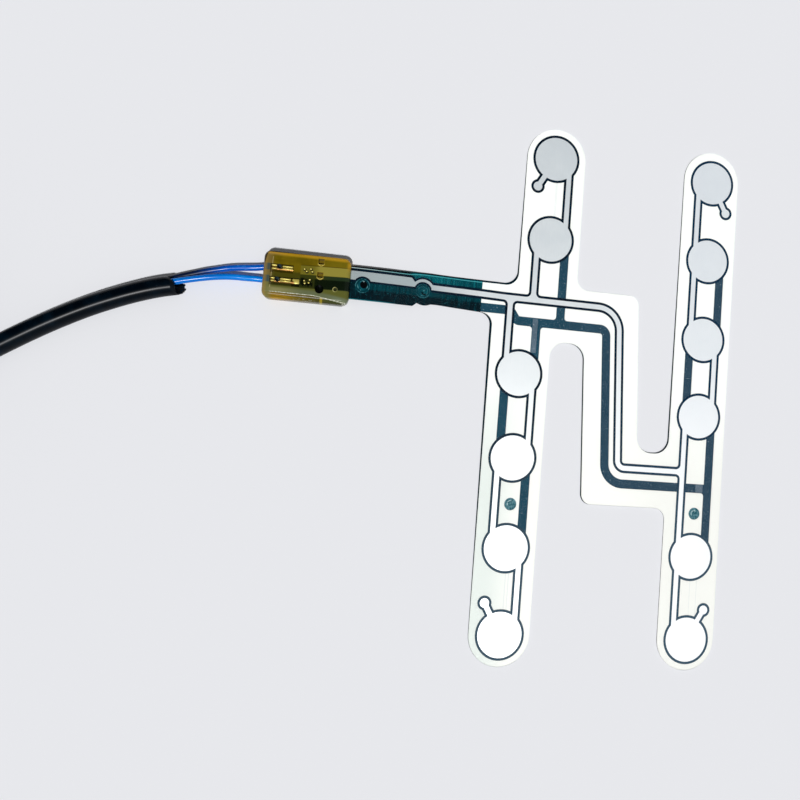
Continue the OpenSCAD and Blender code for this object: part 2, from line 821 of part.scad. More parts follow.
// A round tube swept along the points of a route
module tube(route, d, sides) {
    n = len(route);
    rings = [for (i = [0:n - 1])
        let (way = route[min(i + 1, n - 1)] - route[max(i - 1, 0)], t = way / norm(way),
            across = cross(t, [0, 0, 1]) / norm(cross(t, [0, 0, 1])), up = cross(across, t))
        for (k = [0:sides - 1])
            route[i] + d / 2 * (cos(360 * (k + 0.5) / sides) * across
                + sin(360 * (k + 0.5) / sides) * up)];
    walls = [for (i = [0:n - 2], k = [0:sides - 1])
        let (next = (k + 1) % sides)
        [i * sides + k, (i + 1) * sides + k, (i + 1) * sides + next, i * sides + next]];
    first = [for (k = [0:sides - 1]) k];
    last = [for (k = [sides - 1:-1:0]) (n - 1) * sides + k];
    polyhedron(rings, concat([first], walls, [last]), convexity = 8);
}

module wire_upper() {
    color("#0a50c8")
        in_frame()
            translate([block_left, upper_lane, wire_z])
                tube(upper_wire_route, wire_d, 8);
}

module wire_lower() {
    color("#0a50c8")
        in_frame()
            translate([block_left, lower_lane, wire_z])
                tube(lower_wire_route, wire_d, 8);
}

// Moves the lead to the end of the block
module at_block_end() {
    in_frame()
        translate([block_left, block_y - lead_side, 0])
            children();
}

module lead_sleeve() {
    color("#0b0d10")
        at_block_end()
            translate([0, 0, sleeve_d / 2])
                tube(sleeve_route, sleeve_d, 12);
}

// Outer shape of the coil, two turns high
module lead_coil() {
    color("#0b0d10")
        at_block_end()
            translate(coil_mid)
                rotate_extrude()
                    translate([coil_r - sleeve_d / 2, 0])
                        polygon(rounded([[0, 0, 2.4], [sleeve_d, 0, 2.4],
                            [sleeve_d, 2 * sleeve_d, 2.4], [0, 2 * sleeve_d, 2.4]]));
}

module lead_end() {
    high = 1.5 * sleeve_d;
    route = [for (p = end_route) [p.x, p.y, high + (contact_z - high) * p.z]];
    color("#0b0d10")
        at_block_end()
            tube(route, sleeve_d, 12);
}

// A strap round both turns, with its square head on the outside
module coil_tie() {
    color("#1c1e21")
        at_block_end()
            translate(coil_mid)
                rotate([0, 0, tie_turn])
                    translate([coil_r, 0, 0]) {
                        translate([0, tie_w / 2, 0])
                            rotate([90, 0, 0])
                                linear_extrude(tie_w)
                                    difference() {
                                        translate([-sleeve_d / 2 - tie_t, 0])
                                            square([sleeve_d + 2 * tie_t, 2 * sleeve_d + tie_t]);
                                        translate([-sleeve_d / 2, -eps])
                                            square([sleeve_d, 2 * sleeve_d + eps]);
                                    }
                        translate([sleeve_d / 2 + tie_t - eps, -tie_head.y / 2, sleeve_d])
                            cube(tie_head);
                    }
}

// The plug's own frame has its back face at x = 0 and its mating face at x = plug_l
module at_plug() {
    at_block_end()
        translate(plug_at)
            rotate([0, 0, plug_turn])
                children();
}

module plug_body() {
    color("#23262a")
        at_plug()
            difference() {
                union() {
                    translate([0, plug_w / 2, 0])
                        rotate([90, 0, 0])
                            linear_extrude(plug_w)
                                polygon(rounded([[0, 0, 0.5], [0, plug_h, 0.8],
                                    [plug_l, plug_h, 0.5], [plug_l, 0, 0.5]]));
                    translate([latch_x, latch_w / 2, plug_h])
                        rotate([90, 0, 0])
                            linear_extrude(latch_w)
                                polygon([[0, 0.9], [0, 1.9], [3, 1.7], [latch_l, 0.9],
                                    [latch_l, -0.4], [latch_l - 2, -0.4], [latch_l - 2, 0.5]]);
                    for (s = [-1, 1])
                        translate([2, s * plug_w / 2 - rib_reach, contact_z - rib_t / 2])
                            cube([plug_l - 4, 2 * rib_reach, rib_t]);
                }
                translate([-eps, 0, contact_z])
                    rotate([0, 90, 0])
                        cylinder(d = sleeve_d + 0.1, h = boot_l);
                for (s = [-1, 1])
                    translate([boot_l - eps, s * plug_pitch / 2 - cavity_w / 2,
                        contact_z - cavity_w / 2])
                        cube([plug_l, cavity_w, cavity_w]);
                translate([lock_x, -plug_w / 2 - 1, -eps])
                    cube([lock_w, plug_w + 2, lock_h + eps]);
            }
}

// One socket contact: a box with an open mouth, and a rear crimp
module plug_contact(side) {
    color("#d8b25a")
        at_plug()
            translate([boot_l, side * plug_pitch / 2 - cavity_w / 2, contact_z - cavity_w / 2])
                difference() {
                    cube([contact_l, cavity_w, cavity_w]);
                    translate([2, contact_wall, contact_wall])
                        cube([plug_l, cavity_w - 2 * contact_wall, cavity_w - 2 * contact_wall]);
                }
}

module plug_contact_a() {
    plug_contact(1);
}

module plug_contact_b() {
    plug_contact(-1);
}

// The bar that locks the contacts, pushed in from below
module plug_lock() {
    color("#c8ccd0")
        at_plug()
            translate([lock_x, -plug_w / 2, 0])
                cube([lock_w, plug_w, lock_h]);
}

lower_film();
lower_silver();
lower_carbon();
spacer();
upper_carbon();
upper_silver();
upper_film();
housing();
terminal_upper();
terminal_lower();
conductor_upper();
conductor_lower();
wire_upper();
wire_lower();
lead_sleeve();
lead_coil();
lead_end();
coil_tie();
plug_body();
plug_contact_a();
plug_contact_b();
plug_lock();
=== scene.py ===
import math
import bpy
import bmesh
from mathutils import Matrix, Vector


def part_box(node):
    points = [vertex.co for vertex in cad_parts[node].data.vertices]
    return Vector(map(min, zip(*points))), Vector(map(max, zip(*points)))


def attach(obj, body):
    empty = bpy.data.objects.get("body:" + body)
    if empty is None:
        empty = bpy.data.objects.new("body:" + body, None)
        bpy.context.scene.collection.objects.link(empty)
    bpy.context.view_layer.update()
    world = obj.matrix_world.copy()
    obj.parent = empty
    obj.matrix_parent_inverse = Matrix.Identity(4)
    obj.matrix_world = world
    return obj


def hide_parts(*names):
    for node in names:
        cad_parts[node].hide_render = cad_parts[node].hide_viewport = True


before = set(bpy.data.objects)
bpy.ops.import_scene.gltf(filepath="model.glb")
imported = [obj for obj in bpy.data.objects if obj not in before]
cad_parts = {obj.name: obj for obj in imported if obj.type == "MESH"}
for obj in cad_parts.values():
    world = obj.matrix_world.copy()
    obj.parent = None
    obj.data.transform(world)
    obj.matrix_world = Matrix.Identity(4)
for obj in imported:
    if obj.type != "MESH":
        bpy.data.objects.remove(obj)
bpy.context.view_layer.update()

print("frame loaded:", len(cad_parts), "CAD pieces")

# The plan has the upper left cell at (0, 0) in millimetres; the part's frame has its middle here
middleOfPlan = (-12.45, -81.45)
blockEnd = (-94.2, -51.8)            # where the block ends towards the wires, on its middle line
wireLanes = {"upper": -49.3, "lower": -53.2}
wireHeight = 2.6


def fromPlan(x, y, z=0.0):
    return Vector(((x - middleOfPlan[0]) / 1000, (y - middleOfPlan[1]) / 1000, z / 1000))


def fromBlock(x, y, z=0.0):
    return fromPlan(blockEnd[0] + x, blockEnd[1] + y, z)


def tone(red, green, blue):
    # a colour given in 0 to 255, as the linear values that sockets take
    linear = []
    for part in (red, green, blue):
        v = part / 255
        linear.append(v / 12.92 if v <= 0.04045 else ((v + 0.055) / 1.055) ** 2.4)
    return (*linear, 1.0)


def addObject(name, bm, *materials, smooth=True):
    mesh = bpy.data.meshes.new(name)
    bm.to_mesh(mesh)
    bm.free()
    for material in materials:
        mesh.materials.append(material)
    if smooth:
        mesh.shade_smooth()
    piece = bpy.data.objects.new(name, mesh)
    bpy.context.collection.objects.link(piece)
    return piece


# Camera: nearly overhead, over the tail, looking a little towards the right column
camera = {
    "place": (-0.05375, -0.00455, 0.19736),
    "forward": (0.1484, 0.0524, -0.9875),
    "right": (0.985, 0.0807, 0.1523),
    "lens": 27.0,
    "shift": (-0.0444, -0.0424),
}


def placeCamera(values):
    data = bpy.data.cameras.new("camera")
    data.sensor_width = 36
    data.lens = values["lens"]
    data.shift_x, data.shift_y = values["shift"]
    data.clip_start = 0.01
    data.clip_end = 20
    back = -Vector(values["forward"]).normalized()
    right = Vector(values["right"])
    right = (right - back * right.dot(back)).normalized()
    up = back.cross(right)
    turn = Matrix((right, up, back)).transposed().to_4x4()
    seen = bpy.data.objects.new("camera", data)
    seen.matrix_world = Matrix.Translation(values["place"]) @ turn
    bpy.context.collection.objects.link(seen)
    bpy.context.scene.camera = seen


placeCamera(camera)
print("camera placed")


# Shader helpers
class Port:
    # wraps one output socket, so that shader maths reads as plain sums
    def __init__(self, nodes, socket):
        self.nodes = nodes
        self.socket = socket

    def also(self, output):
        # another output of the same node
        return Port(self.nodes, self.socket.node.outputs[output])

    def calc(self, kind, *values):
        return self.nodes.add("ShaderNodeMath", {"operation": kind}, dict(enumerate(values)))

    def __add__(self, other): return self.calc("ADD", self, other)
    def __radd__(self, other): return self.calc("ADD", other, self)
    def __sub__(self, other): return self.calc("SUBTRACT", self, other)
    def __rsub__(self, other): return self.calc("SUBTRACT", other, self)
    def __mul__(self, other): return self.calc("MULTIPLY", self, other)
    def __rmul__(self, other): return self.calc("MULTIPLY", other, self)
    def __pow__(self, other): return self.calc("POWER", self, other)

    def size(self): return self.calc("ABSOLUTE", self)
    def least(self, other): return self.calc("MINIMUM", self, other)
    def most(self, other): return self.calc("MAXIMUM", self, other)
    def wave(self): return self.calc("SINE", self)

    def over(self, start, end):
        # 0 below start and 1 above end, or the other way round where end is less than start
        if end < start:
            return 1.0 - self.over(end, start)
        return self.nodes.add("ShaderNodeMapRange", {"interpolation_type": "SMOOTHSTEP"},
                              {"Value": self, "From Min": start, "From Max": end})

    def inside(self, low, high, soft):
        return self.over(low - soft / 2, low + soft / 2) * self.over(high + soft / 2, high - soft / 2)


class Nodes:
    # adds nodes to one tree, a material's or the world's
    def __init__(self, tree):
        self.tree = tree

    def add(self, kind, settings=None, values=None, output=0):
        node = self.tree.nodes.new(kind)
        for key, value in (settings or {}).items():
            setattr(node, key, value)
        for key, value in (values or {}).items():
            self.feed(node.inputs[key], value)
        return Port(self, node.outputs[output])

    def feed(self, socket, value):
        if isinstance(value, Port):
            self.tree.links.new(value.socket, socket)
        else:
            socket.default_value = value

    def split(self, vector):
        x = self.add("ShaderNodeSeparateXYZ", None, {0: vector})
        return x, x.also(1), x.also(2)

    def stretched(self, vector, scale):
        return self.add("ShaderNodeVectorMath", {"operation": "MULTIPLY"}, {0: vector, 1: scale})

    def noise(self, vector, scale=1.0, detail=2.0, rough=0.5):
        return self.add("ShaderNodeTexNoise", None,
                        {"Vector": vector, "Scale": scale, "Detail": detail, "Roughness": rough})

    def specks(self, vector, scale, share):
        # small bright dots, scattered over a share of the cells
        near = self.add("ShaderNodeTexVoronoi", None, {"Vector": vector, "Scale": scale}, "Distance")
        chance = self.split(near.also("Color"))[0]
        return near.over(0.34, 0.12) * chance.over(1 - share, 1 - share + 0.03)

    def mix(self, share, first, second):
        return self.add("ShaderNodeMix", {"data_type": "RGBA"}, {0: share, 6: first, 7: second}, 2)


class Look(Nodes):
    # one material: settings go on the main shader's own sockets, patterns are added after
    def __init__(self, name, **settings):
        self.material = bpy.data.materials.new(name)
        self.material.use_nodes = True
        super().__init__(self.material.node_tree)
        self.shader = next(n for n in self.tree.nodes if n.type == "BSDF_PRINCIPLED")
        self.output = next(n for n in self.tree.nodes if n.type == "OUTPUT_MATERIAL")
        self.made = {}
        self.set(**settings)

    def set(self, **values):
        for key, value in values.items():
            self.feed(self.shader.inputs[key.replace("_", " ")], value)

    def spot(self):
        # the point on the piece, in metres
        if "spot" not in self.made:
            self.made["spot"] = self.add("ShaderNodeTexCoord", output="Object")
        return self.made["spot"]

    def plan(self):
        # the same point as x, y and z of the plan, in millimetres
        if "plan" not in self.made:
            x, y, z = self.split(self.spot())
            self.made["plan"] = (x * 1000 + middleOfPlan[0], y * 1000 + middleOfPlan[1], z * 1000)
        return self.made["plan"]

    def away(self, centre):
        # distance in the plan from a point of it, in millimetres
        x, y, z = self.plan()
        return ((x - centre[0]) ** 2 + (y - centre[1]) ** 2) ** 0.5

    def bump(self, height, strength, distance):
        self.set(Normal=self.add("ShaderNodeBump", None,
                                 {"Strength": strength, "Distance": distance, "Height": height}))

    def seeThrough(self, share, clear):
        # the main shader covers a share of what is clear
        both = self.add("ShaderNodeMixShader", None,
                        {0: share, 1: clear, 2: Port(self, self.shader.outputs[0])})
        self.feed(self.output.inputs["Surface"], both)


# Wires, sleeve and coil
lead = {
    "wire": 0.002,                   # diameter of each blue wire
    "sleeve": 0.0062,                # diameter of the black sleeve
    "wall": 0.0005,                  # thickness of the sleeve's wall
    "wireSides": 24,
    "sleeveSides": 48,
    "wireStep": 0.0006,              # space between the rings of points along a tube
    "sleeveStep": 0.0012,
    "mouth": (-0.00081, -0.00078, 0.00085, 0.00084),    # the rim's reach: mean, and its swings
    "torn": 0.0005,                  # depth of the tears in the lower lip
    "slant": 0.012,                  # how far into the tube the slanted cut is felt
    "innerWall": 0.011,              # how far the inner wall runs back
    "coil": 33.0,                    # radius to the middle of the turns
    "coilAt": (-121.8, -21.2),       # middle of the coil, from the block's end
    "first": -55.1,                  # angles at which the sleeve meets and leaves the coil
    "last": -716.5,
    "climb": (-330.0, -395.0),       # where the second turn climbs over the first
    "upperBlue": (tone(0, 72, 166), tone(0, 92, 196)),
    "lowerBlue": (tone(0, 106, 202), tone(0, 130, 228)),
    "upperShade": (0.014, 0.026),    # where along each wire the painted shade begins and is full, near the sleeve
    "lowerShade": (0.033, 0.036),
    "black": (tone(0, 5, 12), tone(2, 16, 27)),
    "scuff": tone(52, 68, 82),
}
# points along each middle line in millimetres, the wires' from their lane at the block's end
upperWire = [(2.1, 0, 0), (-0.3, 0, 0), (-2.3, -0.35, 0), (-4.3, -0.6, 0), (-6.3, -0.82, -0.05),
             (-8.3, -1.06, -0.1), (-10.8, -1.45, -0.2), (-13.3, -2.05, -0.25), (-15.8, -2.7, -0.3),
             (-18.3, -3.4, -0.3), (-20.8, -4.25, -0.3), (-23.3, -5.1, -0.3), (-25.8, -6.05, -0.2),
             (-28.3, -7.05, -0.2), (-30.8, -8.1, -0.2), (-33.3, -9.2, -0.2)]
lowerWire = [(2.1, 0, 0), (-0.3, 0, 0), (-2.3, 0, 0.05), (-4.3, -0.08, 0.2), (-6.3, -0.15, 0.4),
             (-8.3, -0.2, 0.6), (-10.8, -0.42, 0.9), (-13.3, -0.78, 1.2), (-15.8, -1.25, 1.4),
             (-18.3, -1.8, 1.5), (-20.8, -2.4, 1.55), (-23.3, -3.05, 1.6), (-25.8, -3.75, 1.6),
             (-28.3, -4.5, 1.6), (-30.8, -5.35, 1.6), (-33.3, -6.4, 1.6)]
sleeveIn = [(-26.4, -6.2, 3.1), (-31.8, -7.6, 3.1), (-37.8, -9.7, 3.1), (-43.8, -12.2, 3.1),
            (-49.8, -15, 3.1), (-55.8, -18.2, 3.1), (-61.8, -21.7, 3.1), (-67.8, -25.5, 3.1),
            (-73.8, -29.5, 3.1), (-79.8, -33.6, 3.1), (-85.8, -37.7, 3.1), (-91.8, -41.7, 3.1),
            (-97.8, -45.5, 3.1)]
sleeveOut = [(-88.8, -26.2, 9.3), (-88.8, -33.2, 9.3), (-89.3, -40.2, 9.3), (-90.3, -47.2, 9.2),
             (-91.3, -54.2, 8.3), (-92.8, -61.2, 6.8), (-94.3, -68.2, 5.3), (-95.8, -75.2, 4.3),
             (-97.3, -82.2, 4), (-98.8, -88.9, 4)]


def smoothStep(t):
    t = min(1.0, max(0.0, t))
    return t * t * (3 - 2 * t)


def coilTurns(values):
    points = []
    steps = 56
    thick = values["sleeve"] * 1000
    start, end = values["climb"]
    for i in range(steps + 1):
        angle = values["first"] + (values["last"] - values["first"]) * i / steps
        z = thick / 2 + thick * smoothStep((angle - start) / (end - start))
        x = values["coilAt"][0] + values["coil"] * math.cos(math.radians(angle))
        y = values["coilAt"][1] + values["coil"] * math.sin(math.radians(angle))
        points.append((x, y, z))
    return points


def smoothLine(points, step):
    # an even line of points through the given ones, by Catmull-Rom
    ends = [points[0] * 2 - points[1], *points, points[-1] * 2 - points[-2]]
    fine = []
    for a, b, c, d in zip(ends, ends[1:], ends[2:], ends[3:]):
        pieces = max(2, round((c - b).length / (step / 4)))
        for i in range(pieces):
            t = i / pieces
            fine.append(0.5 * (2 * b + (c - a) * t + (2 * a - 5 * b + 4 * c - d) * t * t
                               + (3 * b - a - 3 * c + d) * t ** 3))
    fine.append(points[-1])
    line = [fine[0]]
    for p in fine[1:]:
        if (p - line[-1]).length >= step:
            line.append(p)
    if (line[-1] - fine[-1]).length > step / 2:
        line.append(fine[-1])
    return line


def sweepTube(line, radius, sides):
    # a circle drawn out along the line; each point keeps its place on the straightened tube
    bm = bmesh.new()
    straight = bm.verts.layers.float_vector.new("straight")
    ways = [(b - a).normalized() for a, b in zip(line, line[1:])]
    heading = ways[0].to_track_quat("Z", "Y").to_matrix().to_4x4()
    bmesh.ops.create_circle(bm, segments=sides, radius=radius)
    for v in bm.verts:
        v[straight] = v.co
    bmesh.ops.transform(bm, matrix=Matrix.Translation(line[0]) @ heading, verts=bm.verts)
    ring = list(bm.edges)
    gone = 0.0
    for i in range(1, len(line)):
        gone += (line[i] - line[i - 1]).length
        before = ways[i - 2] if i > 1 else ways[0]
        here = (ways[i - 1] + (ways[i] if i < len(ways) else ways[i - 1])).normalized()
        last = (before + ways[i - 1]).normalized()
        turn = last.rotation_difference(here).to_matrix().to_4x4()
        drawn = bmesh.ops.extrude_edge_only(bm, edges=ring)["geom"]
        verts = [g for g in drawn if isinstance(g, bmesh.types.BMVert)]
        ring = [g for g in drawn if isinstance(g, bmesh.types.BMEdge)]
        move = Matrix.Translation(line[i]) @ turn @ Matrix.Translation(-line[i - 1])
        bmesh.ops.transform(bm, matrix=move, verts=verts)
        for v in verts:
            v[straight][2] = gone
    return bm


def closeEnds(bm):
    rims = [e for e in bm.edges if e.is_boundary]
    bmesh.ops.holes_fill(bm, edges=rims, sides=0)
    bmesh.ops.recalc_face_normals(bm, faces=bm.faces)


def blueWireLook(name, dark, pale, shadeFrom, shadeTo):
    look = Look(name, Specular_IOR_Level=0.2)
    along = look.add("ShaderNodeAttribute", {"attribute_name": "straight"}, output="Vector")
    gone = look.split(along)[2]
    drawn = look.noise(look.stretched(along, (900, 900, 60)), detail=3)
    rubbed = look.noise(along, 700, 4, 0.6)
    scuffed = look.noise(look.stretched(along, (1200, 1200, 420)), detail=5, rough=0.7).over(0.6, 0.68)
    body = look.mix(drawn.over(0.35, 0.65), dark, pale)
    body = look.mix(rubbed.over(0.6, 0.75) * 0.35, body, tone(10, 148, 246))
    body = look.mix(scuffed * 0.4, body, tone(84, 184, 250))
    # painted shade: towards the sleeve the wire darkens to near black, for the shadow it lies in there
    paintedShade = (gone + rubbed * 0.003).over(shadeFrom, shadeTo)
    look.set(Base_Color=look.mix(paintedShade * 0.94, body, tone(2, 6, 22)))
    look.set(Roughness=0.15 + 0.08 * rubbed + 0.2 * paintedShade)
    look.bump(drawn + scuffed * 0.5, 0.06, 0.00006)
    return look.material


def sleeveLook():
    look = Look("black sleeve", Specular_IOR_Level=0.1)
    along = look.add("ShaderNodeAttribute", {"attribute_name": "straight"}, output="Vector")
    drawn = look.noise(look.stretched(along, (1500, 1500, 40)), detail=4, rough=0.6)
    cloudy = look.noise(along, 160, 4, 0.6)
    scuffs = look.noise(look.stretched(along, (500, 500, 180)), detail=5, rough=0.7).over(0.66, 0.75)
    body = look.mix(cloudy.over(0.4, 0.7), *lead["black"])
    look.set(Base_Color=look.mix(scuffs * 0.45, body, lead["scuff"]))
    look.set(Roughness=0.24 + 0.06 * cloudy + 0.15 * scuffs)
    look.bump(drawn * 0.5 + cloudy, 0.08, 0.00014)
    return look.material


def makeWire(name, route, material):
    lane = wireLanes[name]
    points = [fromPlan(blockEnd[0] + x, lane + y, wireHeight + z) for x, y, z in route]
    line = smoothLine(points, lead["wireStep"])
    bm = sweepTube(line, lead["wire"] / 2, lead["wireSides"])
    closeEnds(bm)
    wire = addObject("blue_wire_" + name, bm, material)
    length = sum((b - a).length for a, b in zip(line, line[1:]))
    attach(wire, "root")
    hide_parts("wire_" + name)
    fromPlan(blockEnd[0], lane, wireHeight)
    return wire


def mouthReach(angle):
    # how far back the mouth's rim stands, from the near side (0) over the top; the lip below sticks out
    mean, across, upDown, twice = lead["mouth"]
    return mean + across * math.cos(angle) + upDown * math.sin(angle) + twice * math.cos(2 * angle)


def makeSleeve(material):
    points = [fromBlock(*p) for p in [*sleeveIn, *coilTurns(lead), *sleeveOut]]
    line = smoothLine(points, lead["sleeveStep"])
    radius = lead["sleeve"] / 2
    for p in line:
        p.z = max(p.z, radius)       # the curve dips a hair under the floor before it climbs
    bm = sweepTube(line, radius, lead["sleeveSides"])
    straight = bm.verts.layers.float_vector["straight"]
    start = line[0]
    way = (line[3] - line[0]).normalized()
    # the mouth is cut aslant, and its lower lip is torn
    nearSide = Vector((0, 0, 1)).cross(way)
    for v in bm.verts:
        along = v[straight][2]
        if along < lead["slant"]:
            aside = v.co - start - way * (v.co - start).dot(way)
            angle = math.atan2(aside.z, aside.dot(nearSide))
            low = max(0.0, -math.sin(angle))
            torn = lead["torn"] * low * (math.sin(13 * angle) + 0.7 * math.sin(31 * angle + 1))
            v.co += way * (mouthReach(angle) + torn) * (1 - along / lead["slant"])
    # the rim's thickness, and the inner wall that runs back into the tube
    rim = [e for e in bm.edges if e.is_boundary and (e.verts[0].co - start).length < lead["slant"]]
    inner = bmesh.ops.extrude_edge_only(bm, edges=rim)["geom"]
    rim = [g for g in inner if isinstance(g, bmesh.types.BMEdge)]
    scale = 1 - lead["wall"] / radius
    for v in [g for g in inner if isinstance(g, bmesh.types.BMVert)]:
        foot = start + way * (v.co - start).dot(way)
        v.co = foot + (v.co - foot) * scale
    inner = bmesh.ops.extrude_edge_only(bm, edges=rim)["geom"]
    for v in [g for g in inner if isinstance(g, bmesh.types.BMVert)]:
        reach = (v.co - start).dot(way)
        v.co += way * (lead["innerWall"] - reach)
    closeEnds(bm)
    sleeve = addObject("sleeve", bm, material)
    length = sum((b - a).length for a, b in zip(line, line[1:]))
    print("sleeve length", round(length, 4))
    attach(sleeve, "root")
    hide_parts("lead_sleeve", "lead_coil", "lead_end")
    return sleeve


# the upper wire carries painted shade near the sleeve
shadowedMaterial = blueWireLook("blue insulation, shadowed", *lead["upperBlue"], *lead["upperShade"])
blueMaterial = blueWireLook("blue insulation", *lead["lowerBlue"], *lead["lowerShade"])
makeWire("upper", upperWire, shadowedMaterial)
makeWire("lower", lowerWire, blueMaterial)
makeSleeve(sleeveLook())
print("wires and sleeve laid")


# Film mat: each CAD layer keeps its shape and takes its finish
film = {
    "whiteEnd": -22.8,               # where the white layer ends and the bare tail starts
    "tailTop": -45.3,                # the tail's far edge, and the painted highlight line beside it
    "highlightStreak": -46.12,
    "discs": [(-62.9, -51.7), (-42.9, -51.1)],
    "hole": (-62.55, -51.35),        # in the first disc, painted black for the shadow in it, with a painted spark of light above it
    "spark": (-62.6, -50.3),
    "dentShade": (-42.4, -51.5),          # in the second disc: a painted shaded crescent, with a painted glint in it
    "glint": (-42.6, -50.9),
    "vents": [(-7.5, -119.45), (59.5, -119.35)],
    # faint upright lines in the white layer: left side, width and strength
    "ghosts": [(-7.5, 0.25, 0.35), (-6.45, 0.25, 0.35), (59.3, 0.2, 0.3), (61.8, 0.2, 0.3)],
    # tones of each layer; the two lower prints have one for the left, one for the right, one for specks
    "teal": (tone(0, 92, 100), tone(0, 74, 84)),
    "darkTeal": (tone(0, 56, 65), tone(0, 22, 30)),
    "blueCarbon": (tone(32, 76, 94), tone(50, 74, 92), tone(150, 168, 178)),
    "barePrint": (tone(98, 118, 132), tone(108, 124, 138), tone(190, 200, 206)),
    "white": (tone(253, 254, 251), tone(250, 252, 248)),
    "navy": (tone(0, 16, 31), tone(5, 28, 46)),
    "silver": (tone(228, 232, 234), tone(236, 239, 240)),
}


def lowerFilmLook():
    look = Look("teal film", Specular_IOR_Level=0.05)
    x, y, z = look.plan()
    spot = look.spot()
    lengthwise = look.noise(look.stretched(spot, (120, 2600, 1)), detail=4, rough=0.65)
    cross = look.noise(look.stretched(spot, (2600, 160, 1)), detail=4, rough=0.65)
    fine = look.noise(spot, 900, 4, 0.6)
    sparks = look.specks(spot, 2900, 0.1)
    down = y - film["tailTop"]       # 0 at the tail's far edge, -10.9 at its near one
    # the strip along the far edge is teal, but black beside the wide silver
    teal = look.mix(x.over(-40, -26), *film["teal"])
    teal = look.mix(cross.over(0.52, 0.66) * 0.5, teal, tone(24, 136, 144))
    teal = look.mix(down.over(-2.0, -3.2) * 0.5, teal, tone(0, 52, 62))
    teal = look.mix(cross.over(0.48, 0.38) * 0.6, teal, tone(0, 44, 54))
    top = look.mix((x + lengthwise * 2).over(-47.4, -44.6), tone(0, 4, 7), teal)
    # painted shadow along the tail's far edge
    top = look.mix(down.over(-0.25, 0.0), top, tone(2, 26, 34))
    # a painted highlight line beside the far edge
    highlightStreak = y - film["highlightStreak"] - x.over(-49, -42) * 0.45 + x.over(-40, -24) * 0.2
    line = highlightStreak.inside(-0.1, 0.1, 0.1) * lengthwise.over(0.25, 0.42)
    bright = look.mix(x.over(-66, -44), tone(186, 208, 208), tone(74, 172, 178))
    top = look.mix((line * (0.75 + 0.6 * fine)).least(1.0), top, bright)
    # the near part is dark teal, nearly black towards its near edge, and the edge itself has a painted
    # highlight
    low = look.mix((y + fine * 0.6).over(-52.1, -52.7), *film["darkTeal"])
    low = look.mix(cross.over(0.54, 0.68) * 0.45, low, tone(14, 96, 106))
    low = look.mix((cross.over(0.5, 0.4) * 0.7).most(x.over(-62.5, -66.0) * 0.8), low, tone(0, 16, 24))
    low = look.mix(down.over(-10.75, -11.0) * x.over(-50, -56) * 0.7, low, tone(20, 130, 144))
    tint = look.mix(y.over(-48.5, -49.0), top, low)
    tint = look.mix(sparks * 0.8, tint, tone(56, 158, 168))
    # past the white layer's end only the film's edge shows, nearly black
    tint = look.mix(x.over(film["whiteEnd"] - 0.1, film["whiteEnd"] + 0.1), tint, tone(6, 30, 42))
    # rings pressed round the two discs, with painted glints, and the bumpy film under the vents
    height = fine * 0.2
    pressed = look.mix(fine.over(0.4, 0.65), tone(2, 62, 72), tone(8, 88, 98))
    for centre in film["discs"]:
        r = look.away(centre)
        tint = look.mix(r.over(2.5, 2.35), tint, pressed)
        # the pale rings are painted glints on the pressed rings
        ring = (r.inside(1.5, 1.66, 0.12) + r.inside(2.2, 2.34, 0.12) * 0.7) * fine.over(0.44, 0.6)
        tint = look.mix(ring.least(1.0) * x.over(-48, -56).most(0.4), tint, tone(104, 160, 166))
        tint = look.mix(r.inside(1.75, 2.1, 0.15) * 0.7, tint, tone(0, 36, 44))
        height = height + (r * 9.0).wave() * r.over(2.5, 2.3) * 0.5
    # painted shadow in the first disc's hole, a painted spark above it, then a painted shaded crescent and
    # a painted glint in the second disc
    tint = look.mix(look.away(film["hole"]).over(1.28, 1.12), tint, tone(0, 2, 4))
    tint = look.mix(look.away(film["spark"]).over(0.28, 0.08) * 0.7, tint, tone(170, 204, 206))
    dentShade = look.away(film["dentShade"]).inside(0.45, 1.0, 0.25)
    tint = look.mix(dentShade * (y + x * 0.5).over(-72.6, -73.2), tint, tone(0, 10, 16))
    tint = look.mix(look.away(film["glint"]).over(0.4, 0.15) * 0.4, tint, tone(96, 182, 188))
    dimple = look.noise(spot, 1500, 5, 0.7)
    dimpled = look.mix(dimple.over(0.35, 0.7), tone(22, 76, 88), tone(104, 150, 160))
    for centre in film["vents"]:
        near = look.away(centre).over(2.6, 2.4)
        tint = look.mix(near, tint, dimpled)
        # painted highlight: a pale crescent on the upper left of each vent
        ventGlint = look.away(centre).inside(0.95, 1.15, 0.12) * (y - centre[1] - (x - centre[0])).over(0.1, 0.6)
        tint = look.mix(ventGlint * dimple.over(0.35, 0.5), tint, tone(196, 220, 222))
        height = height + near * dimple * 1.5
    look.set(Base_Color=tint, Roughness=0.26 + fine * 0.14)
    look.bump(height, 0.15, 0.00012)
    return look.material


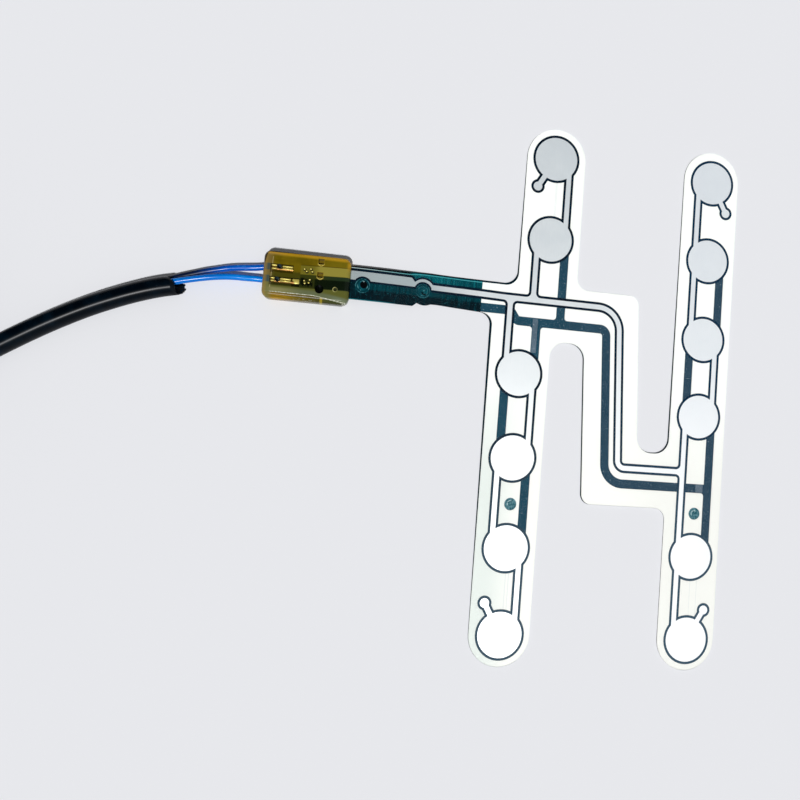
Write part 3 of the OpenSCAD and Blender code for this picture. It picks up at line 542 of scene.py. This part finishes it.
def lowerPrintLook(name, left, right, patch, metallic):
    look = Look(name, Metallic=metallic, Specular_IOR_Level=0.05)
    x, y, z = look.plan()
    spot = look.spot()
    cloudy = look.noise(spot, 240, 4, 0.6)
    grain = look.noise(spot, 2600, 3, 0.7)
    body = look.mix(x.over(-20, 45), left, right)
    body = look.mix(cloudy.over(0.3, 0.7) * 0.3, body, tone(14, 50, 68))
    body = look.mix(grain.over(0.55, 0.8) * 0.25, body, tone(66, 96, 114))
    # on the bare tail the dark print is as teal as the film, darkest along its near edge
    cross = look.noise(look.stretched(spot, (2600, 160, 1)), detail=4, rough=0.65)
    tail = look.mix((y + cloudy * 0.8).over(-52.1, -52.8), tone(0, 54, 63), tone(0, 22, 30))
    tail = look.mix(cross.over(0.54, 0.68) * 0.45, tail, tone(4, 92, 104))
    tail = look.mix(cross.over(0.5, 0.4) * 0.7, tail, tone(0, 16, 24))
    covered = x.over(film["whiteEnd"] - 0.1, film["whiteEnd"] + 0.2)
    body = look.mix(covered, tail, body)
    dots = look.specks(spot, 2700, 0.12).most(look.specks(spot, 1500, 0.08))
    patch = look.mix(covered, tone(30, 128, 140), patch)
    look.set(Base_Color=look.mix(dots * 0.8, body, patch))
    look.set(Roughness=0.3 + 0.2 * grain)
    look.bump(grain * 0.5 + cloudy, 0.1, 0.00008)
    return look.material


def whiteLook():
    look = Look("white layer", Specular_IOR_Level=0.3)
    x, y, z = look.plan()
    spot = look.spot()
    cloudy = look.noise(spot, 60, 3, 0.5)
    grain = look.noise(spot, 1800, 3, 0.6)
    body = look.mix(cloudy.over(0.3, 0.7), *film["white"])
    # off-white on the lower arms, greenish along the left one's outer side
    low = look.mix(x.over(28, 50), tone(250, 250, 245), tone(244, 244, 239))
    low = look.mix(x.over(-3, -15), low, tone(231, 237, 232))
    body = look.mix(y.over(-70, -115), body, low)
    # the links under the white layer press through as faint lines
    ghost = x.inside(0.35, 1.15, 0.25) * y.inside(-21.5, -7.5, 0.6) * 0.2
    for left, width, strength in film["ghosts"]:
        ghost = ghost + x.inside(left, left + width, 0.2) * y.inside(-156, -141, 0.6) * strength
    body = look.mix(ghost * (0.6 + grain * 0.8), body, tone(196, 206, 210))
    look.set(Base_Color=body, Roughness=0.44 + 0.14 * grain)
    look.bump(grain + cloudy * 2, 0.15, 0.00005)
    return look.material


def navyLook():
    look = Look("navy border", Specular_IOR_Level=0.05)
    x, y, z = look.plan()
    spot = look.spot()
    grain = look.noise(spot, 2400, 3, 0.6)
    cloudy = look.noise(spot, 200, 3, 0.5)
    body = look.mix(cloudy.over(0.3, 0.7), *film["navy"])
    # bluer on the right column, and paler on the lower arms
    body = look.mix(x.over(15, 50) * 0.7, body, tone(16, 52, 78))
    body = look.mix(y.over(-70, -150) * 0.8, body, tone(64, 88, 104))
    look.set(Base_Color=look.mix(grain.over(0.6, 0.85) * 0.2, body, tone(40, 66, 84)))
    look.set(Roughness=0.28 + 0.16 * grain)
    look.bump(grain, 0.1, 0.00004)
    return look.material


def silverLook():
    look = Look("silver cells", Metallic=0.6)
    x, y, z = look.plan()
    spot = look.spot()
    upDown = look.noise(look.stretched(spot, (5200, 160, 1)), detail=3, rough=0.6)
    leftRight = look.noise(look.stretched(spot, (160, 5200, 1)), detail=3, rough=0.6)
    across = y.inside(-60, -46, 2) * x.over(20, 10)
    drawn = upDown * (1.0 - across) + leftRight * across
    grain = look.noise(spot, 3200, 3, 0.6)
    cloudy = look.noise(spot, 90, 3, 0.5)
    body = look.mix(cloudy.over(0.3, 0.7), *film["silver"])
    body = look.mix(drawn.over(0.4, 0.75) * 0.25, body, tone(250, 252, 252))
    # painted reflection: paler towards the lower arms
    body = look.mix(y.over(-50, -100) * 0.8, body, tone(251, 253, 253))
    body = look.mix(x.over(-22, -48) * 0.85, body, tone(168, 180, 182))
    # painted reflection: paler towards the right column
    body = look.mix(x.over(15, 45) * 0.5, body, tone(246, 247, 250))
    body = look.mix(grain.over(0.6, 0.85) * 0.2, body, tone(206, 214, 218))
    look.set(Base_Color=body, Roughness=0.32 + 0.12 * grain)
    look.bump(drawn + grain * 0.5, 0.12, 0.00004)
    return look.material


def clearFilmLook():
    # see-through, with a gloss that grows towards the edges of sight
    look = Look("clear film", Metallic=1.0, Base_Color=tone(236, 244, 246))
    spot = look.spot()
    ripple = look.noise(spot, 90, 3, 0.5)
    scratch = look.noise(look.stretched(spot, (60, 2400, 1)), detail=3, rough=0.7)
    look.set(Roughness=0.05 + 0.1 * ripple)
    look.bump(ripple, 0.1, 0.0002)
    gloss = look.add("ShaderNodeFresnel", None, {"IOR": 1.2}) * (0.5 + 0.5 * scratch)
    look.seeThrough(gloss, look.add("ShaderNodeBsdfTransparent"))
    return look.material


def dress(node, material):
    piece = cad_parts[node]
    piece.data.materials.clear()
    piece.data.materials.append(material)


dress("lower_film", lowerFilmLook())
dress("lower_carbon", lowerPrintLook("blue carbon", *film["blueCarbon"], 0.0))
dress("lower_silver", lowerPrintLook("bare print", *film["barePrint"], 0.4))
dress("spacer", whiteLook())
dress("upper_carbon", navyLook())
dress("upper_silver", silverLook())


def makeClearFilm():
    # a copy of the CAD sheet's upper side and outer edges, as its underside lies on the prints
    bm = bmesh.new()
    bm.from_mesh(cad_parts["upper_film"].data)
    bmesh.ops.remove_doubles(bm, verts=bm.verts, dist=1e-7)
    below = [f for f in bm.faces if f.normal.z < -0.5]
    bmesh.ops.delete(bm, geom=below, context="FACES_ONLY")
    short = []                       # the low walls of the steps in the underside
    for f in bm.faces:
        heights = [v.co.z for v in f.verts]
        if abs(f.normal.z) < 0.5 and max(heights) - min(heights) < 0.00006:
            short.append(f)
    bmesh.ops.delete(bm, geom=short, context="FACES")
    bmesh.ops.dissolve_limit(bm, angle_limit=0.002, verts=bm.verts, edges=bm.edges)
    sheet = addObject("clear_sheet", bm, clearFilmLook(), smooth=False)
    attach(sheet, "root")
    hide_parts("upper_film")
    return sheet


makeClearFilm()
print("film layers finished")


# Moulded block
block = {
    "cornerRadius": 0.0024,
    "edgeRadius": 0.0017,
    "footRadius": 0.0004,
    # pockets in the top: places, radius and height of the bottom in millimetres, sides and turn
    "squares": {"at": [(-76.5, -46.1), (-76.5, -50.4)], "radius": 1.7 / 2 ** 0.5, "bottom": 3.5,
                "sides": 4, "turn": math.pi / 4},
    "well": {"at": [(-76.45, -54.85)], "radius": 1.25, "bottom": 2.4, "sides": 32, "turn": 0},
    "dot": {"at": [(-71.5, -54.45)], "radius": 0.55, "bottom": 4.5, "sides": 24, "turn": 0},
    "pins": {"at": [(-89.25, -48.95), (-89.65, -53.0)], "radius": 0.62, "bottom": 3.8,
             "sides": 24, "turn": 0},
    # the clear windows: along the terminals, over the lower plate and over each tine
    "laneEnds": (-91.95, -84.9),
    "clearLanes": [(-50.15, -48.25), (-54.15, -52.25)],
    "dimLanes": [(-50.95, -48.25), (-54.95, -52.25)],    # the light comes in here, past the near sides
    "plateX": (-85.2, -82.6),
    "plateY": (-54.95, -52.2),
    "tinesAt": [(-78.9, -49.75), (-81.35, -49.15), (-80.65, -49.8), (-79.35, -48.9),
                (-81.15, -52.85), (-79.75, -53.4), (-79.45, -52.4), (-80.95, -53.65)],
    # what is painted on the resin, where it is seen from above
    "topLevel": (5.1, 5.4),          # windows and rims fade in over these heights
    "lean": 0.035,                   # the stripes inside rise this much along the block
    "stubsAt": (-49.25, -53.05),
    "filmEnd": (-82.75, -82.5),
    "silverStripe": (-50.7, -47.75),
    "darkStripe": (-55.0, -50.7),
    "topEnd": -56.9,                 # where the top turns down on the near side
    # place of the painted glint at the near right corner
    "sparkle": (-68.5, -58.7),
    # tones, from the far side to the near one; the first is a painted shadow on the far edge, the next a
    # painted glow along the rim
    "shadowEdge": tone(14, 16, 4),
    "rim": (tone(164, 134, 68), tone(184, 144, 28)),
    "olive": (tone(96, 82, 4), tone(116, 98, 10)),
    "khaki": (tone(112, 104, 30), tone(146, 136, 56)),
    "dark": (tone(52, 56, 14), tone(34, 50, 28)),
    "green": tone(92, 94, 40),
    "frost": (tone(136, 132, 86), tone(100, 107, 76)),
    "wall": (tone(168, 130, 26), tone(104, 88, 14)),
    "clear": (0.97, 0.95, 0.83, 1),
}


def bevelEdges(bm, edges, radius, segments):
    bmesh.ops.bevel(bm, geom=edges, offset=radius, segments=segments, profile=0.5,
                    affect="EDGES", material=-1, clamp_overlap=True)


def blockShell():
    low, high = (Vector(p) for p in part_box("housing"))
    bm = bmesh.new()
    bmesh.ops.create_cube(bm, size=1)
    bmesh.ops.scale(bm, vec=high - low, verts=bm.verts)
    bmesh.ops.translate(bm, vec=(low + high) / 2, verts=bm.verts)
    uprights = [e for e in bm.edges if abs(e.verts[0].co.z - e.verts[1].co.z) > 0.001]
    bevelEdges(bm, uprights, block["cornerRadius"], 8)
    top = [e for e in bm.edges if all(v.co.z > high.z - 1e-6 for v in e.verts)]
    bevelEdges(bm, top, block["edgeRadius"], 7)
    foot = [e for e in bm.edges if all(v.co.z < low.z + 1e-6 for v in e.verts)]
    bevelEdges(bm, foot, block["footRadius"], 3)
    return bm


def addCutters(bm, pocket):
    # tapered cutters, wider at their mouths
    radius = pocket["radius"] / 1000
    tall = 0.006
    for x, y in pocket["at"]:
        made = bmesh.ops.create_cone(bm, cap_ends=True, cap_tris=False, segments=pocket["sides"],
                                     radius1=radius, radius2=radius * 1.12, depth=tall)["verts"]
        place = Matrix.Translation(fromPlan(x, y, pocket["bottom"]) + Vector((0, 0, tall / 2)))
        bmesh.ops.transform(bm, matrix=place @ Matrix.Rotation(pocket["turn"], 4, "Z"), verts=made)


def resinLook():
    # tones of what lies inside, painted glow, highlights and shadow, and clear windows over the terminals
    look = Look("amber resin", Specular_IOR_Level=0.1)
    x, y, z = look.plan()
    spot = look.spot()
    cloudy = look.noise(spot, 220, 4, 0.6)
    fine = look.noise(spot, 1400, 4, 0.65)
    flow = look.noise(look.stretched(spot, (60, 900, 300)), detail=4, rough=0.6)
    slant = y - (x + 80.0) * block["lean"]
    level = z.over(*block["topLevel"])

    # far half: olive under a rim with a painted glow, greyer at the left end
    body = look.mix(cloudy.over(0.3, 0.7), *block["olive"])
    body = look.mix(flow.over(0.45, 0.7) * 0.4, body, tone(84, 68, 2))
    body = look.mix(x.over(-80, -69) * 0.5, body, tone(118, 106, 18))
    # between and below the terminals it is darker, and green towards the near side
    body = look.mix(slant.over(-49.8, -50.6), body, tone(70, 66, 12))
    body = look.mix(slant.over(-53.4, -55.2), body, block["green"])
    # the films: a khaki stripe over the wide silver, a dark one over the carbon
    films = x.over(*block["filmEnd"])
    khaki = look.mix((x + cloudy * 2).over(-78, -75), *block["khaki"])
    body = look.mix(films * slant.inside(*block["silverStripe"], 0.25), body, khaki)
    body = look.mix(films * slant.inside(-47.85, -47.6, 0.15) * 0.7, body, tone(64, 50, 4))
    dark = look.mix(x.over(-80, -70), *block["dark"])
    body = look.mix(films * slant.inside(*block["darkStripe"], 0.3), body, dark)
    deep = x.over(-78.4, -77.8) * slant.inside(-54.9, -51.9, 0.5)
    body = look.mix(deep * (0.75 + 0.35 * fine), body, tone(5, 15, 3))
    knots = look.noise(spot, 700, 3, 0.6).over(0.45, 0.55) * x.inside(-82.4, -78.6, 0.6)
    # painted shade round the lower tines and plate
    shade = x.inside(-82.5, -78.4, 0.5) * slant.inside(-54.7, -51.9, 0.5) * 0.55
    body = look.mix(shade, body, tone(22, 28, 6))
    body = look.mix(knots * slant.inside(-54.6, -51.7, 0.5), body, tone(8, 12, 2))
    # the frosted strip, and a painted line of sparkling highlights where the top turns down, with a
    # painted glint at the near right corner
    fall = y - block["topEnd"] + (x + 78).most(0.0) * 0.15
    frost = look.mix(x.over(-90, -80), *block["frost"])
    frost = look.mix(x.over(-76, -69), frost, tone(108, 118, 90))
    body = look.mix(fall.inside(-0.1, 1.3, 1.1) * (0.7 + 0.5 * cloudy), body, frost)
    wall = look.mix(x.over(-90, -82), *block["wall"])
    wall = look.mix(x.over(-82, -72), wall, tone(62, 70, 32))
    wall = look.mix(flow.over(0.45, 0.62) * 0.55, wall, tone(52, 48, 8))
    wall = look.mix(x.inside(-76.0, -75.2, 0.2) * 0.8, wall, tone(158, 140, 36))
    body = look.mix(fall.over(-0.1, -0.45), body, wall)
    broken = look.noise(look.stretched(spot, (1500, 2600, 2600)), detail=4, rough=0.75)
    glint = fall.inside(-0.28, -0.02, 0.16) * (0.3 + 0.9 * broken.over(0.46, 0.56))
    glint = glint.most(fall.inside(-2.1, -1.6, 0.3) * broken.over(0.56, 0.64) * x.over(-86, -82) * 0.8)
    glint = glint.most(look.away(block["sparkle"]).over(0.9, 0.3) * broken.over(0.45, 0.58))
    body = look.mix(glint.least(1.0), body, tone(216, 218, 200))
    # left end: greyer, with a fine upright painted highlight and the dim stubs of the wires
    grey = look.mix(slant.over(-50, -54), tone(122, 102, 56), tone(116, 114, 66))
    body = look.mix(x.over(-90.4, -92.6) * 0.85, body, grey)
    upright = (x - (y + 50) * block["lean"]).inside(-91.52, -91.36, 0.12)
    upright = upright * slant.inside(-55.4, -45.6, 0.4)
    body = look.mix(upright * 0.6, body, tone(196, 180, 130))
    for lane in block["stubsAt"]:
        stub = x.over(-91.7, -92.3) * y.inside(lane - 1.05, lane + 1.05, 0.4)
        body = look.mix(stub * 0.9, body, tone(55, 73, 74))
    # painted glow along the far rim and the ends, and a painted shadow on its outermost edge and at the
    # far left corner
    amber = (x.over(-68.6, -67.6) * y.over(-49, -46)).most(x.over(-92.4, -93.6) * 0.6)
    amber = y.over(-45.8, -44.9).most(amber)
    rim = look.mix(x.over(-92, -86), *block["rim"])
    rim = look.mix(flow.over(0.4, 0.65) * y.over(-45.3, -44.7) * 0.8, rim, tone(214, 162, 42))
    body = look.mix(amber * (0.7 + 0.4 * cloudy), body, rim)
    body = look.mix((y + (x + 80) * -0.018).over(-44.42, -44.18), body, block["shadowEdge"])
    # painted shadow at the far left corner
    corner = (x - y * 0.2175).over(-83.1, -83.35) * y.over(-48.9, -47.6)
    body = look.mix(corner * 0.85, body, tone(24, 22, 6))
    # painted highlights on the pockets' rims, near walls and lips, and a darker tone inside them
    bottom = block["squares"]["bottom"]
    for cx, cy in block["squares"]["at"]:
        reach = (x - cx).size().most((y - cy).size())
        pit = reach.over(1.0, 0.9)
        body = look.mix(reach.inside(0.88, 1.15, 0.15) * level * 0.3, body, tone(166, 138, 40))
        body = look.mix(pit, body, tone(112, 92, 20))
        nearWall = pit * y.over(cy - 0.35, cy - 0.7) * z.over(bottom, bottom + 0.5)
        body = look.mix(nearWall, body, tone(240, 218, 108))
        lip = look.away((cx, cy - 0.5)).inside(0.75, 0.95, 0.12) * y.over(cy - 0.75, cy - 1.0)
        body = look.mix(lip * level * 0.85, body, tone(214, 194, 98))
    # painted shade: the well is black inside
    for place in block["well"]["at"]:
        body = look.mix(look.away(place).over(1.45, 1.3), body, tone(1, 5, 1))
    # painted highlight on the left of the dot's ring, and painted shade inside the dot
    for place in block["dot"]["at"]:
        near = look.away(place)
        ring = near.inside(0.55, 0.82, 0.15) * (0.3 + 0.7 * x.over(-71.1, -71.8))
        body = look.mix(ring, body, tone(164, 160, 100))
        body = look.mix(near.over(0.6, 0.5), body, tone(44, 50, 24))
    pins = 0.0
    for place in block["pins"]["at"]:
        pins = look.away(place).over(0.85, block["pins"]["radius"]).most(pins)
    body = look.mix(pins, body, tone(40, 56, 62))

    # clear windows over the grips, the plate and the tines, but not over the pins' marks
    dim = 0.0
    for low, high in block["dimLanes"]:
        dim = y.inside(low, high, 0.2).most(dim)
    lanes = dim * 0.7
    for low, high in block["clearLanes"]:
        lanes = lanes.most(y.inside(low, high, 0.2))
    lanes = lanes * x.inside(*block["laneEnds"], 0.3)
    lanes = lanes.most(x.inside(*block["plateX"], 0.3) * y.inside(*block["plateY"], 0.3))
    tines = 0.0
    for place in block["tinesAt"]:
        tines = look.away(place).over(0.62, 0.4).most(tines)
    window = (lanes * 0.9 + tines * 0.85) * (1.0 - pins)
    seen = 0.985 - window * level
    look.set(Base_Color=body, Roughness=0.18 + 0.14 * fine)
    look.bump(fine * 0.5 + cloudy, 0.3, 0.00012)
    tinted = look.add("ShaderNodeBsdfTransparent", None, {"Color": block["clear"]})
    look.seeThrough(seen.most(z.over(0.5, 0.2)).least(1.0), tinted)
    return look.material


def makeBlock():
    shell = addObject("moulded_block", blockShell(), resinLook())
    cutters = bmesh.new()
    for kind in ("squares", "well", "dot", "pins"):
        addCutters(cutters, block[kind])
    tool = addObject("pocket_cutters", cutters)
    cut = shell.modifiers.new("pockets", "BOOLEAN")
    cut.object = tool
    cut.operation = "DIFFERENCE"
    cut.solver = "EXACT"
    done = bpy.data.meshes.new_from_object(shell.evaluated_get(bpy.context.evaluated_depsgraph_get()))
    shell.modifiers.clear()
    shell.data = done
    bpy.data.objects.remove(tool)
    shell.data.shade_smooth()
    shell.data.set_sharp_from_angle(angle=math.radians(35))
    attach(shell, "root")
    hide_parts("housing")
    return shell


makeBlock()


# Terminals: a strip with two grips rolled over the wire, a plate, and tines that stand up to the light
terminal = {
    "strip": (-92.1, -78.8, 1.6, 1.7, 0.3),      # from, to, width, height of the underside and thickness
    "plate": (-85.1, -82.95, 1.5, 2.3, 0.6),
    "tine": (0.72, 0.42, 2.3, 2.2),              # length, width, height of the underside and height
    "bowl": (2.3, 0.92, 0.62),                   # height of the middle, radius and flatness
    "rolls": 0.3,                                # radius of each roll
    "rollTop": 3.2,
    "upper": {"y": -48.75, "grips": [(-91.95, -90.25, 0.54), (-88.5, -85.3, 0.38)],
              "tines": [(-81.6, -48.7), (-80.9, -49.35), (-79.6, -48.45), (-79.1, -49.3)]},
    "lower": {"y": -52.75, "grips": [(-92.35, -90.65, 0.44), (-88.95, -85.6, 0.38)],
              "tines": [(-81.4, -52.4), (-80.0, -52.95), (-79.7, -51.95), (-81.2, -53.2)]},
    "gold": (tone(236, 224, 138), tone(220, 206, 112)),
    # a darker copy of the gold: painted shade on the strip and bowls deep in the resin
    "shaded": (tone(112, 92, 30), tone(86, 68, 18)),
    "copper": (tone(176, 128, 70), tone(146, 102, 54)),
    "contact": (tone(244, 206, 110), tone(222, 176, 84)),
}


def addBar(bm, start, end, y, z, radius, flat):
    # a roll along x, with its ends rounded over
    made = bmesh.ops.create_cone(bm, cap_ends=True, cap_tris=False, segments=20, radius1=radius / 1000,
                                 radius2=radius / 1000, depth=(end - start) / 1000)["verts"]
    place = Matrix.Translation(fromPlan((start + end) / 2, y, z)) @ Matrix.Diagonal((1, 1, flat, 1))
    bmesh.ops.transform(bm, matrix=place @ Matrix.Rotation(math.pi / 2, 4, "Y"), verts=made)
    caps = {e for v in made for e in v.link_edges if abs(e.verts[0].co.x - e.verts[1].co.x) < 1e-7}
    bevelEdges(bm, list(caps), radius * 0.35 / 1000, 3)


def addPlate(bm, start, end, y, width, bottom, thick):
    made = bmesh.ops.create_cube(bm, size=1)["verts"]
    bmesh.ops.scale(bm, vec=((end - start) / 1000, width / 1000, thick / 1000), verts=made)
    bmesh.ops.translate(bm, vec=fromPlan((start + end) / 2, y, bottom + thick / 2), verts=made)
    bevelEdges(bm, list({e for v in made for e in v.link_edges}), min(thick, width) / 4000, 2)


def makeTerminal(name, material, shade):
    values = terminal[name]
    y = values["y"]
    bm = bmesh.new()
    start, end, *rest = terminal["strip"]
    addPlate(bm, start, end, y, *rest)
    for start, end, apart in values["grips"]:
        addBar(bm, start, end, y, *terminal["bowl"])     # the bowl under the wire
    for face in bm.faces:
        face.material_index = 1      # strip and bowls take the darker gold, painted shade deep in the resin
    start, end, *rest = terminal["plate"]
    addPlate(bm, start, end, y, *rest)
    middle = terminal["rollTop"] - terminal["rolls"]
    for start, end, apart in values["grips"]:
        # the two rolls that close over the wire
        addBar(bm, start, end, y - apart, middle, terminal["rolls"], 1.0)
        addBar(bm, start, end, y + apart, middle, terminal["rolls"], 1.0)
    long, *rest = terminal["tine"]
    for tineX, tineY in values["tines"]:
        addPlate(bm, tineX - long / 2, tineX + long / 2, tineY, *rest)
    bmesh.ops.recalc_face_normals(bm, faces=bm.faces)
    piece = addObject("gold_terminal_" + name, bm, material, shade)
    piece.data.set_sharp_from_angle(angle=math.radians(40))
    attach(piece, "root")
    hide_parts("terminal_" + name)
    return piece


def goldLook(name, body, worn, metallic):
    look = Look(name, Metallic=metallic)
    spot = look.spot()
    drawn = look.noise(look.stretched(spot, (300, 4200, 300)), detail=3, rough=0.6)
    patch = look.noise(spot, 800, 4, 0.6)
    look.set(Base_Color=look.mix(patch.over(0.4, 0.7), body, worn), Roughness=0.2 + 0.2 * drawn)
    look.bump(drawn, 0.3, 0.00005)
    return look.material


goldMaterial = goldLook("gold strip", *terminal["gold"], 0.25)
shadeMaterial = goldLook("dull gold", *terminal["shaded"], 0.3)
copperMaterial = goldLook("copper strands", *terminal["copper"], 0.5)
makeTerminal("upper", goldMaterial, shadeMaterial)
makeTerminal("lower", goldMaterial, shadeMaterial)
contactMaterial = goldLook("plated contact", *terminal["contact"], 1.0)
for node in ("plug_contact_a", "plug_contact_b"):
    dress(node, contactMaterial)
for node in ("conductor_upper", "conductor_lower"):
    dress(node, copperMaterial)
print("block and terminals finished")


# Plug, its lock and the coil's tie: dark tone, pale tone and roughness
plug = {
    "body": (tone(30, 33, 37), tone(50, 54, 60), 0.4),
    "lock": (tone(200, 202, 196), tone(222, 224, 218), 0.42),
    "tie": (tone(18, 20, 23), tone(34, 37, 42), 0.36),
}


def nylonLook(name, dark, pale, rough):
    look = Look(name, IOR=1.5)
    spot = look.spot()
    grain = look.noise(spot, 2200, 4, 0.6)
    cloudy = look.noise(spot, 260, 3, 0.5)
    wear = look.noise(spot, 700, 5, 0.7).over(0.62, 0.75)
    body = look.mix(cloudy.over(0.3, 0.7), dark, pale)
    look.set(Base_Color=look.mix(wear * 0.3, body, pale), Roughness=rough + 0.14 * grain)
    look.bump(grain, 0.35, 0.00006)
    return look.material


dress("plug_body", nylonLook("dark nylon", *plug["body"]))
dress("plug_lock", nylonLook("natural nylon", *plug["lock"]))
dress("coil_tie", nylonLook("black nylon", *plug["tie"]))
print("plug finished")


# Floor and light
studio = {
    "floor": tone(236, 237, 241),
    "backdrop": tone(231, 232, 236),
    "floorSize": 3.0,
    "floorDrop": 0.00005,            # keeps the floor clear of the film's underside
    "sunFrom": (-0.18, -1.1, 2.5),   # from the near side, high up
    "sunLevel": 0.8,                 # the sun's share of the light on a level surface
    "sunWidth": 4.0,                 # degrees, for soft edges of the shadows
    "skyLevel": 0.155,
    # what glossy parts mirror: a pale side, fading upwards, and a dark one
    "paleSky": (tone(252, 253, 253), tone(196, 206, 214)),
    "darkSky": tone(44, 52, 58),
}


def makeFloor():
    look = Look("pale floor", Roughness=0.9, Specular_IOR_Level=0.0)
    cloudy = look.noise(look.spot(), 3, 2, 0.5)
    look.set(Base_Color=look.mix(cloudy * 0.02, studio["floor"], studio["backdrop"]))
    bm = bmesh.new()
    bmesh.ops.create_grid(bm, x_segments=1, y_segments=1, size=studio["floorSize"] / 2)
    bmesh.ops.translate(bm, vec=(0, 0, -studio["floorDrop"]), verts=bm.verts)
    floor = addObject("floor", bm, look.material, smooth=False)


def makeSun():
    data = bpy.data.lights.new("window", "SUN")
    way = Vector(studio["sunFrom"]).normalized()
    data.energy = studio["sunLevel"] * math.pi / way.z
    data.angle = math.radians(studio["sunWidth"])
    lamp = bpy.data.objects.new("window", data)
    lamp.rotation_euler = way.to_track_quat("Z", "Y").to_euler()
    bpy.context.collection.objects.link(lamp)


def makeSky():
    # an even sky for the light; reflections see it pale towards the window and dim overhead
    world = bpy.data.worlds.new("studio")
    bpy.context.scene.world = world
    world.use_nodes = True
    sky = Nodes(world.node_tree)
    x, y, z = sky.split(sky.add("ShaderNodeTexCoord", output="Generated"))
    seen = sky.add("ShaderNodeLightPath", output="Is Camera Ray")
    mirrored = seen.also("Is Glossy Ray").most(seen.also("Is Transmission Ray"))
    bright, faded = studio["paleSky"]
    bright = sky.mix(y.over(0.5, -0.25), faded, bright)
    # the pads mirror the pale side, the block and the lead a dim one
    pale = x.over(0.06, 0.3).most(y.over(-0.25, -0.8) * 0.35)
    colour = sky.mix(mirrored, tone(255, 255, 255), sky.mix(pale, studio["darkSky"], bright))
    back = next(n for n in sky.tree.nodes if n.type == "BACKGROUND")
    sky.feed(back.inputs["Color"], sky.mix(seen, colour, studio["backdrop"]))
    level = studio["skyLevel"]
    sky.feed(back.inputs["Strength"], level + (1.0 - level) * mirrored.most(seen))


makeFloor()
makeSun()
makeSky()
view = bpy.context.scene.view_settings
view.view_transform = "Standard"
print("floor and light set")
